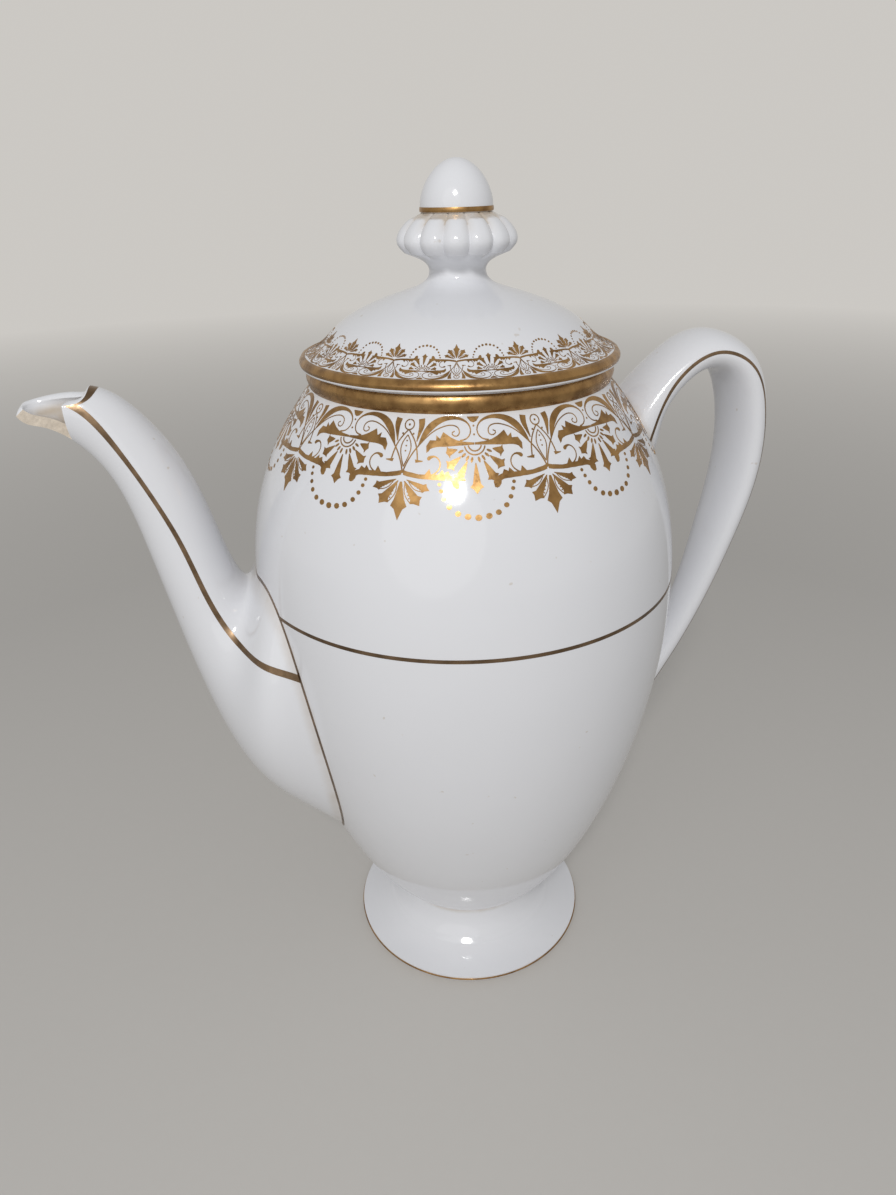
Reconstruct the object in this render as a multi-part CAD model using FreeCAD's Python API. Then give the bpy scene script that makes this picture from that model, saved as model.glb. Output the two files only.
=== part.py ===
import FreeCAD, Part
import math
import os

# Coffee pot of glazed bone china with gilt bands, all sizes in millimetres.
# Z is the pot's axis and Z = 0 the table. The spout points along -X, the handle along +X.

# Foot: a trumpet with a hollow underside
FOOT_HEIGHT = 17.0
FOOT_RADIUS = 38.6
FOOT_EDGE_HEIGHT = 2.2
FOOT_EDGE_BEVEL = 0.8
FOOT_FLARE_DROP = 8.5
FOOT_FLARE_REACH = 9.0
FOOT_RING_WIDTH = 4.2
FOOT_HOLLOW_HEIGHT = 12.0
FOOT_HOLLOW_RADIUS = 19.0

# Vessel: an egg that narrows to the foot and to an upright collar
BASE_RADIUS = 24.0
BELLY_RADIUS = 60.1
BELLY_RISE = 111.0
BASE_ANGLE = 41.0
BASE_PULL = 23.4
BELLY_PULL_DOWN = 42.7
BELLY_PULL_UP = 23.9
NECK_RADIUS = 39.6
NECK_ANGLE = 50.0
NECK_PULL = 25.9
SHOULDER_RISE = 60.4
COLLAR_HEIGHT = 3.9
VESSEL_WALL = 3.4
FLOOR_THICKNESS = 5.0

# Strainer: rings of small holes round one hole, behind the root of the spout
STRAINER_HOLE_RADIUS = 1.2
STRAINER_PITCH = 5.5
STRAINER_RINGS = 2
STRAINER_RING_GAIN = 6
STRAINER_DROP = 28.0

# Spout sections from the root to the lip: reach of the top and height of the top,
# reach of the bottom and height of the bottom, half the width.
# Reaches are counted outwards from the belly and heights upwards from the widest girth.
SPOUT_SECTIONS = [
    (-13.8, 38.7, -25.1, -88.2, 34.4),
    (-10.6, 32.3, -16.5, -78.6, 32.8),
    (-2.5, 16.3, 4.9, -54.5, 28.7),
    (2.1, 6.7, 16.8, -28.5, 19.9),
    (6.5, 16.8, 22.8, -2.0, 14.3),
    (12.0, 37.6, 27.2, 22.0, 10.5),
    (20.9, 54.7, 32.5, 41.6, 8.0),
    (32.0, 64.0, 40.0, 53.4, 6.6),
    (39.0, 71.0, 45.6, 55.4, 6.2),
    (45.5, 75.5, 52.0, 60.6, 5.4),
]
SPOUT_WALL = 2.8
MOUTH_BACK = (32.4, 64.1)
MOUTH_TIP = (51.6, 59.9)
LIP_BREAK_REACH = 39.8
LIP_BREAK_OFFSET = 0.6

# Handle strap from the shoulder over the bow to the belly: reach and height of its
# middle, thickness, half the width.
# Reaches are counted outwards from the belly and heights upwards from the neck.
HANDLE_PATH = [
    (-17.6, -31.4, 21.0, 13.5),
    (-12.7, -20.8, 18.5, 13.0),
    (-7.5, -9.9, 12.4, 11.5),
    (-0.3, -1.6, 10.4, 10.4),
    (9.3, 3.3, 10.6, 10.8),
    (17.2, 0.2, 10.4, 11.8),
    (23.0, -12.7, 10.3, 11.7),
    (23.8, -31.6, 9.9, 10.9),
    (19.8, -52.2, 9.4, 9.2),
    (14.3, -71.9, 8.4, 7.2),
    (6.7, -90.3, 7.8, 6.2),
    (-3.1, -107.4, 8.4, 6.4),
    (-10.6, -118.4, 9.0, 7.0),
    (-20.0, -126.5, 9.6, 7.4),
]
SECTION_POINTS = 16

# Lid: a dome with a flange that drops into the collar
LID_OVERHANG = 1.9
LID_EDGE_BEVEL = 0.6
LID_BARE_EDGE = 0.8
LID_BAND_HEIGHT = 2.6
LID_BAND_SLOPE = 0.5
LID_RISE = 18.1
DOME_EDGE_ANGLE = 21.3
DOME_EDGE_PULL = 11.4
DOME_TOP_ANGLE = 16.2
DOME_TOP_PULL = 24.1
LID_CROWN = 3.6
LID_SHELL_RISE = 1.5
FLANGE_DEPTH = 8.0
FLANGE_WALL = 2.6
FLANGE_CLEARANCE = 1.2

# Finial: an acorn on a fluted skirt and a waisted stem
FINIAL_BASE_RADIUS = 13.5
FINIAL_BASE_PULL = 4.4
STEM_RADIUS = 7.2
STEM_RISE = 4.6
STEM_PULL_DOWN = 2.3
STEM_PULL_UP = 2.2
SKIRT_RADIUS = 15.1
SKIRT_UNDERCUT = 2.6
SKIRT_UNDERSIDE_RISE = 4.5
SKIRT_UNDERSIDE_ANGLE = 20.0
SKIRT_UNDERSIDE_PULL = 3.2
SKIRT_GIRTH_RISE = 2.4
SKIRT_TOP_RISE = 6.5
SKIRT_SHOULDER_INSET = 2.0
SKIRT_SHOULDER_DROP = 2.5
SKIRT_SHOULDER_ANGLE = 30.0
ACORN_RADIUS = 8.8
ACORN_HEIGHT = 10.6
ACORN_PULL_UP = 3.5
ACORN_PULL_OUT = 3.3
FLUTE_COUNT = 14
FLUTE_WIDTH = 0.8
FLUTE_DEPTH = 0.7

# Gilding: bands and lines that stand a little proud of the glaze
GILT = 0.25
NECK_BAND_GAP = 0.3
WAIST_LINE_RISE = 7.8
WAIST_LINE_WIDTH = 1.0
FOOT_LINE_WIDTH = 0.9
FINIAL_LINE_WIDTH = 1.1

# Heights and radii that follow from the sizes above
BELLY_HEIGHT = FOOT_HEIGHT + BELLY_RISE
NECK_HEIGHT = BELLY_HEIGHT + SHOULDER_RISE
RIM_HEIGHT = NECK_HEIGHT + COLLAR_HEIGHT
COLLAR_BORE_RADIUS = NECK_RADIUS - VESSEL_WALL
LID_RADIUS = NECK_RADIUS + LID_OVERHANG
LID_BAND_FOOT = RIM_HEIGHT + LID_BARE_EDGE
LID_BAND_TOP = LID_BAND_FOOT + LID_BAND_HEIGHT
LID_TOP = RIM_HEIGHT + LID_RISE
STEM_HEIGHT = LID_TOP + STEM_RISE
SKIRT_HEIGHT = STEM_HEIGHT + SKIRT_UNDERSIDE_RISE
SKIRT_TOP = SKIRT_HEIGHT + SKIRT_GIRTH_RISE + SKIRT_TOP_RISE
ACORN_FOOT = SKIRT_TOP + FINIAL_LINE_WIDTH
FAR = 4 * BELLY_RADIUS
PROFILE_STEPS = 12


def at(radius, height):
    """Point of a profile in the XZ plane."""
    return FreeCAD.Vector(radius, 0, height)


def line(a, b):
    return Part.makeLine(a, b)


def bezier(*poles):
    curve = Part.BezierCurve()
    curve.setPoles(list(poles))
    return curve


def through(points, closed=False):
    """Smooth edge through the points."""
    curve = Part.BSplineCurve()
    curve.interpolate(Points=points, PeriodicFlag=closed)
    return curve.toShape()


def turned(edges):
    """Solid of revolution about Z from the edges of a closed profile."""
    face = Part.Face(Part.Wire(Part.__sortEdges__(edges)))
    return face.revolve(at(0, 0), FreeCAD.Vector(0, 0, 1), 360)


def ring(inner, outer, low, high):
    """Flat-topped ring about Z."""
    corners = [at(inner, low), at(outer, low), at(outer, high), at(inner, high)]
    return turned([line(a, b) for a, b in zip(corners, corners[1:] + corners[:1])])


def prism(points, low_y, high_y):
    """Upright slab with a straight-sided outline in the XZ plane."""
    outline = Part.makePolygon([p + FreeCAD.Vector(0, low_y, 0) for p in points + points[:1]])
    return Part.Face(outline).extrude(FreeCAD.Vector(0, high_y - low_y, 0))


def polar(angle):
    """Unit vector in the XZ plane at an angle above the horizontal."""
    return at(math.cos(math.radians(angle)), math.sin(math.radians(angle)))


def vessel_curves():
    """The two curves of the vessel's side: base to belly, and belly to neck."""
    base = at(BASE_RADIUS, FOOT_HEIGHT)
    belly = at(BELLY_RADIUS, BELLY_HEIGHT)
    neck = at(NECK_RADIUS, NECK_HEIGHT)
    lower = bezier(
        base,
        base + polar(BASE_ANGLE) * BASE_PULL,
        belly - at(0, BELLY_PULL_DOWN),
        belly,
    )
    upper = bezier(
        belly,
        belly + at(0, BELLY_PULL_UP),
        neck + polar(-NECK_ANGLE) * NECK_PULL,
        neck,
    )
    return lower, upper


def vessel_side(offset):
    """Smooth edge at a distance outside the vessel's side, from base to neck."""
    points = []
    for curve in vessel_curves():
        for step in range(PROFILE_STEPS + 1):
            where = step / PROFILE_STEPS
            way = curve.tangent(where)[0]
            out = FreeCAD.Vector(way.z, 0, -way.x)
            points.append(curve.value(where) + out * offset)
    joint = PROFILE_STEPS + 1
    return through(points[:joint] + points[joint + 1:])


def vessel_body(offset):
    """Solid of the vessel's outside, grown by an offset on its side and collar."""
    side = vessel_side(offset)
    foot = side.Vertexes[0].Point
    neck = side.Vertexes[-1].Point
    rim = at(NECK_RADIUS + offset, RIM_HEIGHT)
    corners = [rim, at(0, RIM_HEIGHT), at(0, foot.z), foot]
    if offset:
        corners.insert(0, at(NECK_RADIUS + offset, NECK_HEIGHT))
    return turned([side, line(neck, corners[0])] + [line(a, b) for a, b in zip(corners, corners[1:])])


def vessel_hollow():
    """The space inside the vessel, open at the rim."""
    floor = FOOT_HEIGHT + FLOOR_THICKNESS
    side = vessel_side(-VESSEL_WALL)
    foot = side.Vertexes[0].Point
    neck = side.Vertexes[-1].Point
    collar = at(COLLAR_BORE_RADIUS, NECK_HEIGHT)
    top = at(COLLAR_BORE_RADIUS, RIM_HEIGHT + COLLAR_HEIGHT)
    corners = [neck, collar, top, at(0, top.z), at(0, foot.z), foot]
    edges = [side] + [line(a, b) for a, b in zip(corners, corners[1:])]
    return turned(edges).common(Part.makeCylinder(FAR, FAR, at(0, floor)))


def strainer_holes():
    """Round holes along X: one in the middle and rings round it, each with more holes than the last."""
    middle = BELLY_HEIGHT - STRAINER_DROP
    centres = [(0, middle)]
    for ring in range(1, STRAINER_RINGS + 1):
        radius = ring * STRAINER_PITCH
        count = ring * STRAINER_RING_GAIN
        for step in range(count):
            turn = 2 * math.pi * step / count
            centres.append((radius * math.sin(turn), middle + radius * math.cos(turn)))
    holes = []
    for across, height in centres:
        hole = Part.makeCylinder(STRAINER_HOLE_RADIUS, FAR)
        hole.rotate(at(0, 0), FreeCAD.Vector(0, 1, 0), -90)
        hole.translate(FreeCAD.Vector(0, across, height))
        holes.append(hole)
    return holes


def foot():
    joint = at(BASE_RADIUS, FOOT_HEIGHT)
    edge_top = at(FOOT_RADIUS, FOOT_EDGE_HEIGHT)
    edge_low = at(FOOT_RADIUS, FOOT_EDGE_BEVEL)
    sole_out = at(FOOT_RADIUS - FOOT_EDGE_BEVEL, 0)
    sole_in = at(FOOT_RADIUS - FOOT_EDGE_BEVEL - FOOT_RING_WIDTH, 0)
    ceiling = at(FOOT_HOLLOW_RADIUS, FOOT_HOLLOW_HEIGHT)
    middle = at(0, FOOT_HOLLOW_HEIGHT)
    flare = bezier(
        joint,
        joint - at(0, FOOT_FLARE_DROP),
        edge_top + at(-FOOT_FLARE_REACH, FOOT_EDGE_HEIGHT),
        edge_top,
    )
    corners = [edge_top, edge_low, sole_out, sole_in, ceiling, middle, at(0, FOOT_HEIGHT), joint]
    return turned([flare.toShape()] + [line(a, b) for a, b in zip(corners, corners[1:])])


def tube(sections, grow):
    """Loft through oval sections, grown by an offset.

    A section is the two ends of its axis in the XZ plane and half its width along Y.
    """
    wires = []
    for first, second, half_width in sections:
        centre = (first + second) * 0.5
        half = (first - second) * 0.5
        half = half * ((half.Length + grow) / half.Length)
        points = []
        for step in range(SECTION_POINTS):
            turn = 2 * math.pi * step / SECTION_POINTS
            across = FreeCAD.Vector(0, (half_width + grow) * math.sin(turn), 0)
            points.append(centre + half * math.cos(turn) + across)
        wires.append(Part.Wire(through(points, True)))
    return Part.makeLoft(wires, True, False)


def spout_tube(grow):
    sections = []
    for top_reach, top_rise, low_reach, low_rise, half_width in SPOUT_SECTIONS:
        top = at(-BELLY_RADIUS - top_reach, BELLY_HEIGHT + top_rise)
        low = at(-BELLY_RADIUS - low_reach, BELLY_HEIGHT + low_rise)
        sections.append((top, low, half_width))
    return tube(sections, grow)


def handle_tube():
    middles = [at(BELLY_RADIUS + row[0], NECK_HEIGHT + row[1]) for row in HANDLE_PATH]
    path = through(middles)
    sections = []
    for middle, (reach, rise, thickness, half_width) in zip(middles, HANDLE_PATH):
        way = path.tangentAt(path.Curve.parameter(middle))
        out = FreeCAD.Vector(-way.z, 0, way.x) * (thickness / 2)
        sections.append((middle + out, middle - out, half_width))
    return tube(sections, 0)


def mouth_cut():
    """Block over the slanted mouth of the spout."""
    back = at(-BELLY_RADIUS - MOUTH_BACK[0], BELLY_HEIGHT + MOUTH_BACK[1])
    tip = at(-BELLY_RADIUS - MOUTH_TIP[0], BELLY_HEIGHT + MOUTH_TIP[1])
    start = back - (tip - back)
    end = tip + (tip - back)
    rise = at(0, BELLY_RADIUS)
    return prism([start, end, end + rise, start + rise], -BELLY_RADIUS, BELLY_RADIUS)


def lip_break():
    """Block that takes the broken front half off the lip."""
    corner = FreeCAD.Vector(-FAR, -FAR, BELLY_HEIGHT)
    length = FAR - BELLY_RADIUS - LIP_BREAK_REACH
    return Part.makeBox(length, FAR - LIP_BREAK_OFFSET, FAR, corner)


def lid():
    flange_out = COLLAR_BORE_RADIUS - FLANGE_CLEARANCE
    flange_in = flange_out - FLANGE_WALL
    flange_low = RIM_HEIGHT - FLANGE_DEPTH
    dome_edge = at(LID_RADIUS - LID_BAND_SLOPE, LID_BAND_TOP)
    dome_top = at(FINIAL_BASE_RADIUS, LID_TOP)
    shell_edge = at(flange_in, RIM_HEIGHT + LID_SHELL_RISE)
    shell_top = at(0, LID_TOP - LID_CROWN)
    dome = bezier(
        dome_edge,
        dome_edge + polar(180 - DOME_EDGE_ANGLE) * DOME_EDGE_PULL,
        dome_top + polar(-DOME_TOP_ANGLE) * DOME_TOP_PULL,
        dome_top,
    )
    shell = bezier(
        shell_edge,
        at(flange_in, (shell_edge.z + shell_top.z) / 2),
        at(flange_in / 2, shell_top.z),
        shell_top,
    )
    corners = [
        shell_edge,
        at(flange_in, flange_low),
        at(flange_out, flange_low),
        at(flange_out, RIM_HEIGHT),
        at(LID_RADIUS - LID_EDGE_BEVEL, RIM_HEIGHT),
        at(LID_RADIUS, LID_BAND_FOOT),
        dome_edge,
    ]
    edges = [line(a, b) for a, b in zip(corners, corners[1:])]
    edges += [dome.toShape(), line(dome_top, at(0, LID_TOP)), line(at(0, LID_TOP), shell_top)]
    edges.append(shell.toShape())
    return turned(edges)


def skirt_points(sink):
    """Points up the side of the finial's skirt, sunk below its surface."""
    shoulder = at(SKIRT_RADIUS - SKIRT_SHOULDER_INSET, SKIRT_TOP - SKIRT_SHOULDER_DROP)
    return [
        at(SKIRT_RADIUS - SKIRT_UNDERCUT - sink, SKIRT_HEIGHT + sink),
        at(SKIRT_RADIUS - sink, SKIRT_HEIGHT + SKIRT_GIRTH_RISE),
        shoulder - polar(SKIRT_SHOULDER_ANGLE) * sink,
        at(ACORN_RADIUS, SKIRT_TOP - sink),
    ]


def finial():
    base = at(FINIAL_BASE_RADIUS, LID_TOP)
    stem = at(STEM_RADIUS, STEM_HEIGHT)
    underside = at(SKIRT_RADIUS - SKIRT_UNDERCUT, SKIRT_HEIGHT)
    acorn = at(ACORN_RADIUS, ACORN_FOOT)
    tip = at(0, ACORN_FOOT + ACORN_HEIGHT)
    base_curve = bezier(
        base,
        base + polar(180 - DOME_TOP_ANGLE) * FINIAL_BASE_PULL,
        stem - at(0, STEM_PULL_DOWN),
        stem,
    )
    under_curve = bezier(
        stem,
        stem + at(0, STEM_PULL_UP),
        underside - polar(SKIRT_UNDERSIDE_ANGLE) * SKIRT_UNDERSIDE_PULL,
        underside,
    )
    acorn_curve = bezier(
        acorn,
        acorn + at(0, ACORN_PULL_UP),
        tip + at(ACORN_PULL_OUT, 0),
        tip,
    )
    body = turned([
        base_curve.toShape(),
        under_curve.toShape(),
        through(skirt_points(0)),
        line(at(ACORN_RADIUS, SKIRT_TOP), acorn),
        acorn_curve.toShape(),
        line(tip, at(0, LID_TOP)),
        line(at(0, LID_TOP), base),
    ])
    return body.cut(finial_flutes())


def finial_flutes():
    """Narrow slots up the skirt, evenly spaced round it."""
    deep = skirt_points(FLUTE_DEPTH)
    outside = at(SKIRT_RADIUS * 2, deep[0].z)
    above = at(SKIRT_RADIUS * 2, deep[-1].z)
    edges = [
        through(deep),
        line(deep[-1], above),
        line(above, outside),
        line(outside, deep[0]),
    ]
    face = Part.Face(Part.Wire(Part.__sortEdges__(edges)))
    face.translate(FreeCAD.Vector(0, -FLUTE_WIDTH / 2, 0))
    slot = face.extrude(FreeCAD.Vector(0, FLUTE_WIDTH, 0))
    slots = []
    for flute in range(FLUTE_COUNT):
        turned_slot = slot.copy()
        turned_slot.rotate(at(0, 0), FreeCAD.Vector(0, 0, 1), 360 * (flute + 0.5) / FLUTE_COUNT)
        slots.append(turned_slot)
    return slots


def lid_band():
    foot_in = at(LID_RADIUS, LID_BAND_FOOT)
    top_in = at(LID_RADIUS - LID_BAND_SLOPE, LID_BAND_TOP)
    out = at(GILT, 0)
    corners = [foot_in, foot_in + out, top_in + out, top_in]
    return turned([line(a, b) for a, b in zip(corners, corners[1:] + corners[:1])])


def clay_pieces():
    """The six china pieces by name."""
    outside = vessel_body(0)
    spout_cuts = [spout_tube(-SPOUT_WALL), outside, mouth_cut(), lip_break()]
    return {
        "vessel": outside.cut(vessel_hollow()).cut(strainer_holes()),
        "foot": foot(),
        "spout": spout_tube(0).cut(spout_cuts),
        "handle": handle_tube().cut(outside),
        "lid": lid(),
        "finial": finial(),
    }


def gilt_bands():
    """The gilt bands and lines that run round the pot's axis, by name."""
    neck_band_top = RIM_HEIGHT - NECK_BAND_GAP
    foot_line_top = FOOT_EDGE_BEVEL + FOOT_LINE_WIDTH
    waist_foot = BELLY_HEIGHT + WAIST_LINE_RISE - WAIST_LINE_WIDTH / 2
    waist = Part.makeCylinder(FAR, WAIST_LINE_WIDTH, at(0, waist_foot))
    return {
        "neck_band": ring(NECK_RADIUS, NECK_RADIUS + GILT, NECK_HEIGHT, neck_band_top),
        "waist_line": vessel_body(GILT).common(waist).cut([vessel_body(0), spout_tube(0)]),
        "foot_line": ring(FOOT_RADIUS, FOOT_RADIUS + GILT, FOOT_EDGE_BEVEL, foot_line_top),
        "lid_band": lid_band(),
        "finial_line": ring(ACORN_RADIUS, ACORN_RADIUS + GILT, SKIRT_TOP, ACORN_FOOT),
    }


os.makedirs("parts", exist_ok=True)
for pieces in (clay_pieces(), gilt_bands()):
    for name, shape in pieces.items():
        print(name, len(shape.Solids), "solids", round(shape.Volume, 2), "mm3", shape.isValid())
        shape.exportStep(f"parts/{name}.step")
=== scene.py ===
import math

import bmesh
import bpy
import numpy as np
from bpy.props import FloatProperty, FloatVectorProperty, IntProperty, PointerProperty
from mathutils import Matrix, Vector


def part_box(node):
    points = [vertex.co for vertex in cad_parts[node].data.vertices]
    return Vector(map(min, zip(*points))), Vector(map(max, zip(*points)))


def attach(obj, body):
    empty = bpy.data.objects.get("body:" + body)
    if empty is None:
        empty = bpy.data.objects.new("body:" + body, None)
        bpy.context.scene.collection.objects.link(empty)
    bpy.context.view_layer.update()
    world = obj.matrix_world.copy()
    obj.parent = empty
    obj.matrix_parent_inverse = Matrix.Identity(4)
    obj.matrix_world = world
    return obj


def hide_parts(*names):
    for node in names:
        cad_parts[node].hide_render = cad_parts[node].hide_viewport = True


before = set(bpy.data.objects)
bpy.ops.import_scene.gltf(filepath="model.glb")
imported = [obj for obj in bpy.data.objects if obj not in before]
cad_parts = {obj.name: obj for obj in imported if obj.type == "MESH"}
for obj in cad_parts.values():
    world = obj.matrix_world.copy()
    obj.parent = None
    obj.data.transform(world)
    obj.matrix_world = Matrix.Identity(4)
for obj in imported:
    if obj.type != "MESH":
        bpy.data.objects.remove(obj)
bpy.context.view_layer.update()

bl_info = {
    "name": "Gilded coffee pot",
    "version": (1, 0, 0),
    "blender": (4, 5, 0),
    "location": "3D View > Sidebar > Coffee pot",
    "description": "Glazed china, gilt bands and gilt lace of a footed coffee pot",
    "category": "Add Mesh",
}

# Shapes are worked out in millimetres; a mesh is in metres.
MM = 0.001
# Points of a mesh that lie closer than this are one point, in metres
WELD = 2e-7


def turned_size(node):
    """Radius, lowest level and highest level of a solid turned round the pot's axis."""
    low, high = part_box(node)
    return high.y / MM, low.z / MM, high.z / MM


FOOT_RADIUS, TABLE, FOOT_TOP = turned_size("foot")
BELLY_RADIUS, VESSEL_FOOT, RIM = turned_size("vessel")
LID_RADIUS, FLANGE_LOW, LID_TOP = turned_size("lid")
SKIRT_RADIUS, _, FINIAL_TIP = turned_size("finial")
NECK_BAND_RADIUS, NECK, NECK_BAND_TOP = turned_size("neck_band")
LID_BAND_RADIUS, LID_BAND_LOW, LID_BAND_TOP = turned_size("lid_band")
_, WAIST_LOW, WAIST_TOP = turned_size("waist_line")
FOOT_LINE_RADIUS, FOOT_LINE_LOW, FOOT_LINE_TOP = turned_size("foot_line")
_, SKIRT_TOP, ACORN_FOOT = turned_size("finial_line")

# The seam under the lid shows a little higher than the solids have it, the lid's band by a share of that
SEAM_RISE = 1.0
SEAM_BAND_SHARE = 0.8
RIM += SEAM_RISE
NECK_BAND_TOP += SEAM_RISE
LID_BAND_LOW += SEAM_BAND_SHARE * SEAM_RISE

# Steps round the axis of a turned piece
TURNED_STEPS = 240

# Vessel: base, belly and neck, with the slopes and the pulls of its two cubics at their ends
BASE_RADIUS = 24.0
BASE_SLOPE, BASE_PULL = 41.0, 23.4
BELLY = 128.0
BELLY_PULL_DOWN, BELLY_PULL_UP = 42.7, 23.9
NECK_RADIUS = 39.6
NECK_SLOPE, NECK_PULL = -50.0, 25.9
COLLAR_BORE = 36.2
VESSEL_FLOOR = 22.0
# Rounding of its rim: where it starts and where its cubic pulls to
COLLAR_START, COLLAR_PULL = 0.8, 0.3
# Where the collar's bore ends below the neck
COLLAR_END = 0.5
# Cut of the corner between its side and its floor: inwards and upwards
FLOOR_CORNER_IN, FLOOR_CORNER_UP = 0.6, 0.5

# Foot: pulls of its flare, top of its edge, rounding and width of its sole, and the hollow underneath
FLARE_PULL_DOWN = 8.5
FLARE_PULL_IN, FLARE_PULL_LEVEL = 9.0, 4.4
FOOT_EDGE_TOP = 2.2
SOLE_START, SOLE_PULL = 1.0, 0.4
SOLE_WIDTH = 5.0
HOLLOW_PULL_LOW = (2.0, 5.0)
HOLLOW_PULL_HIGH = (24.0, 11.6)
HOLLOW_RADIUS, HOLLOW_TOP = 19.0, 12.0

# Lid: slopes and pulls of the dome at its edge and its top, the shell's thickness, its edge and its flange
DOME_EDGE_STEP = 0.75
DOME_EDGE_SLOPE, DOME_EDGE_PULL = 158.7, 11.4
DOME_TOP_SLOPE, DOME_TOP_PULL = -16.2, 24.1
LID_THICKNESS = 3.6
LID_HOLLOW_RISE = 1.5
LID_EDGE_IN, LID_EDGE_IN_PULL = 0.5, 0.2
LID_EDGE_UP, LID_EDGE_UP_PULL = 0.4, 0.15
FLANGE_INSIDE, FLANGE_OUTSIDE = 32.4, 35.0
FLANGE_CHAMFER = 0.6
# How far the dome runs on under the finial
UNDER_FINIAL = 1.5

# Spout: end of each oval section above and below (reach beyond the belly, rise above it), half its width
SPOUT_SECTIONS = [
    (-13.8, 38.7, -25.1, -88.2, 34.4),
    (-10.6, 32.3, -16.5, -78.6, 32.8),
    (-2.5, 16.3, 4.9, -54.5, 31.5),
    (2.1, 7.6, 16.8, -28.5, 19.6),
    (6.5, 16.8, 22.8, -2.0, 13.4),
    (12.0, 37.6, 27.2, 22.0, 10.5),
    (20.9, 54.7, 32.5, 41.6, 8.0),
    (31.4, 63.8, 40.0, 51.6, 6.6),
    (39.0, 64.8, 46.0, 55.1, 6.2),
    (45.5, 66.0, 50.6, 57.1, 5.6),
    (48.0, 67.0, 52.3, 60.0, 5.0),
]
MOUTH_BACK = (32.4, 64.1)
MOUTH_TIP = (51.6, 59.9)
# Sweep of the mouth's edge: reach beyond the belly, rise above the straight from back to tip
MOUTH_SWEEP = [
    (32.9, 2.6), (33.2, 0.4), (33.9, -1.1), (35.6, -1.9), (39.0, -1.5), (46.0, -0.7), (52.0, -0.5),
]
# Blunt nose of the lip: where its edge starts to turn down, where it ends and how far it falls
NOSE = (50.5, 51.55, 2.8)
# Slope of the fall past the nose, far steeper than the lip
NOSE_FALL = 9.0
# Rounding of the mouth's rim: its height, the share left at the back, and the reach over which it grows
RIM_ROUND = 1.1
RIM_LEAST = 0.3
RIM_GROWTH = (33.5, 38.0)
# Half turn over the wall that the rounded rim takes, in steps that the broken faces share
RIM_TURN = np.linspace(0, np.pi, 9)
RIM_SHARE = (1 - np.cos(RIM_TURN)) / 2
# Grid of the spout: steps along the tube and the lip, lines round the far mouth, lip, break and near mouth
SPOUT_STEPS = 150
LIP_STEPS = 40
SPOUT_LINES = (26, 40, 36, 26)
# Rounding of the crotch between spout and vessel: crowding of the grid towards it, turns in degrees and
# shares of the way over which the rounding dies out, and its rounds
CROTCH_CROWDING = 1.5
CROTCH_SPREAD = (30.0, 60.0)
CROTCH_FADE = np.interp(np.linspace(0, 1, SPOUT_STEPS), (0.3, 0.55), (1, 0))
CROTCH_ROUNDS = 80
# Break: the upright plane across the spout, the offset of its other face from the middle, its roughness
BREAK_REACH = 39.1
BREAK_OFFSET = 0.6
BREAK_ROUGHNESS = 0.08

# Strainer: drop of its middle below the belly, pitch and number of its rings, holes that each ring gains,
# and the radius of a hole
STRAINER_DROP = 28.0
STRAINER_PITCH = 5.5
STRAINER_RINGS = 2
STRAINER_RING_GAIN = 6
STRAINER_RADIUS = 1.2
# How far the strainer's drills reach out of the belly and into it
DRILL_OUT, DRILL_IN = 10.0, 30.0

# Handle: middle of each oval section (reach beyond the belly, rise above the neck), thickness, half its width
HANDLE_SECTIONS = [
    (-17.6, -31.4, 21.0, 13.5),
    (-12.7, -20.8, 18.5, 13.0),
    (-7.5, -9.9, 12.4, 11.5),
    (-0.3, -1.6, 10.4, 10.4),
    (9.3, 3.3, 10.6, 10.8),
    (17.2, 0.2, 10.4, 11.8),
    (23.0, -12.7, 10.3, 11.7),
    (23.8, -31.6, 9.9, 10.9),
    (19.8, -52.2, 9.4, 9.2),
    (14.3, -71.9, 8.4, 7.2),
    (6.7, -90.3, 7.8, 6.2),
    (-3.1, -107.4, 8.4, 6.4),
    (-10.6, -118.4, 9.0, 7.0),
    (-20.0, -126.5, 9.6, 7.4),
]

# Stretches of the tubes, in shares of the way, that hold the roots and the mouth
SPOUT_ROOT_SPAN = (0.0, 0.7)
SPOUT_MOUTH_SPAN = (0.6, 1.0)
HANDLE_UPPER_SPAN = (0.0, 0.5)
HANDLE_LOWER_SPAN = (0.5, 1.0)

# Lines drawn along the tubes: percent of the way, turn from the upper or outer edge in degrees,
# share of the width
SPOUT_LINE = [(9, 75, 1.6), (21, 67, 1.5), (37, 63, 1.25), (52, 75, 1.1), (65, 83, 1.0), (77, 94, 1.0),
              (82, 93, 1.1), (87, 83, 1.3), (93, 60, 1.5)]
HANDLE_LINE = [(7, 104, 1.0), (12, 101, 1.0), (17, 88, 1.0), (25, 83, 1.0), (33, 72, 0.9), (45, 60, 0.8),
               (70, 56, 0.8), (97, 62, 0.8)]

# Finial: foot on the lid, stem, lobed skirt and acorn, with the pulls of the cubics between them
FINIAL_FOOT_RADIUS = 13.5
FINIAL_FOOT_PULL = 4.4
STEM = (7.2, 215.0)
STEM_PULL_DOWN, STEM_PULL_UP = 2.3, 2.2
SKIRT_UNDERSIDE = (13.3, 219.3)
UNDERSIDE_SLOPE, UNDERSIDE_PULL = 20.0, 3.2
SKIRT_GIRTH = 221.6
SKIRT_SHOULDER = (13.1, 225.9)
ACORN_RADIUS = 9.0
ACORN_PULL, ACORN_TIP_PULL = 5.0, 4.6
# Steps round each lobe; arched tops of the lobes, in shares of the skirt's height: their springing and rise
LOBE_STEPS = 16
LOBE_SPRINGING, LOBE_ARCH = 0.60, 0.22
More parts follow.
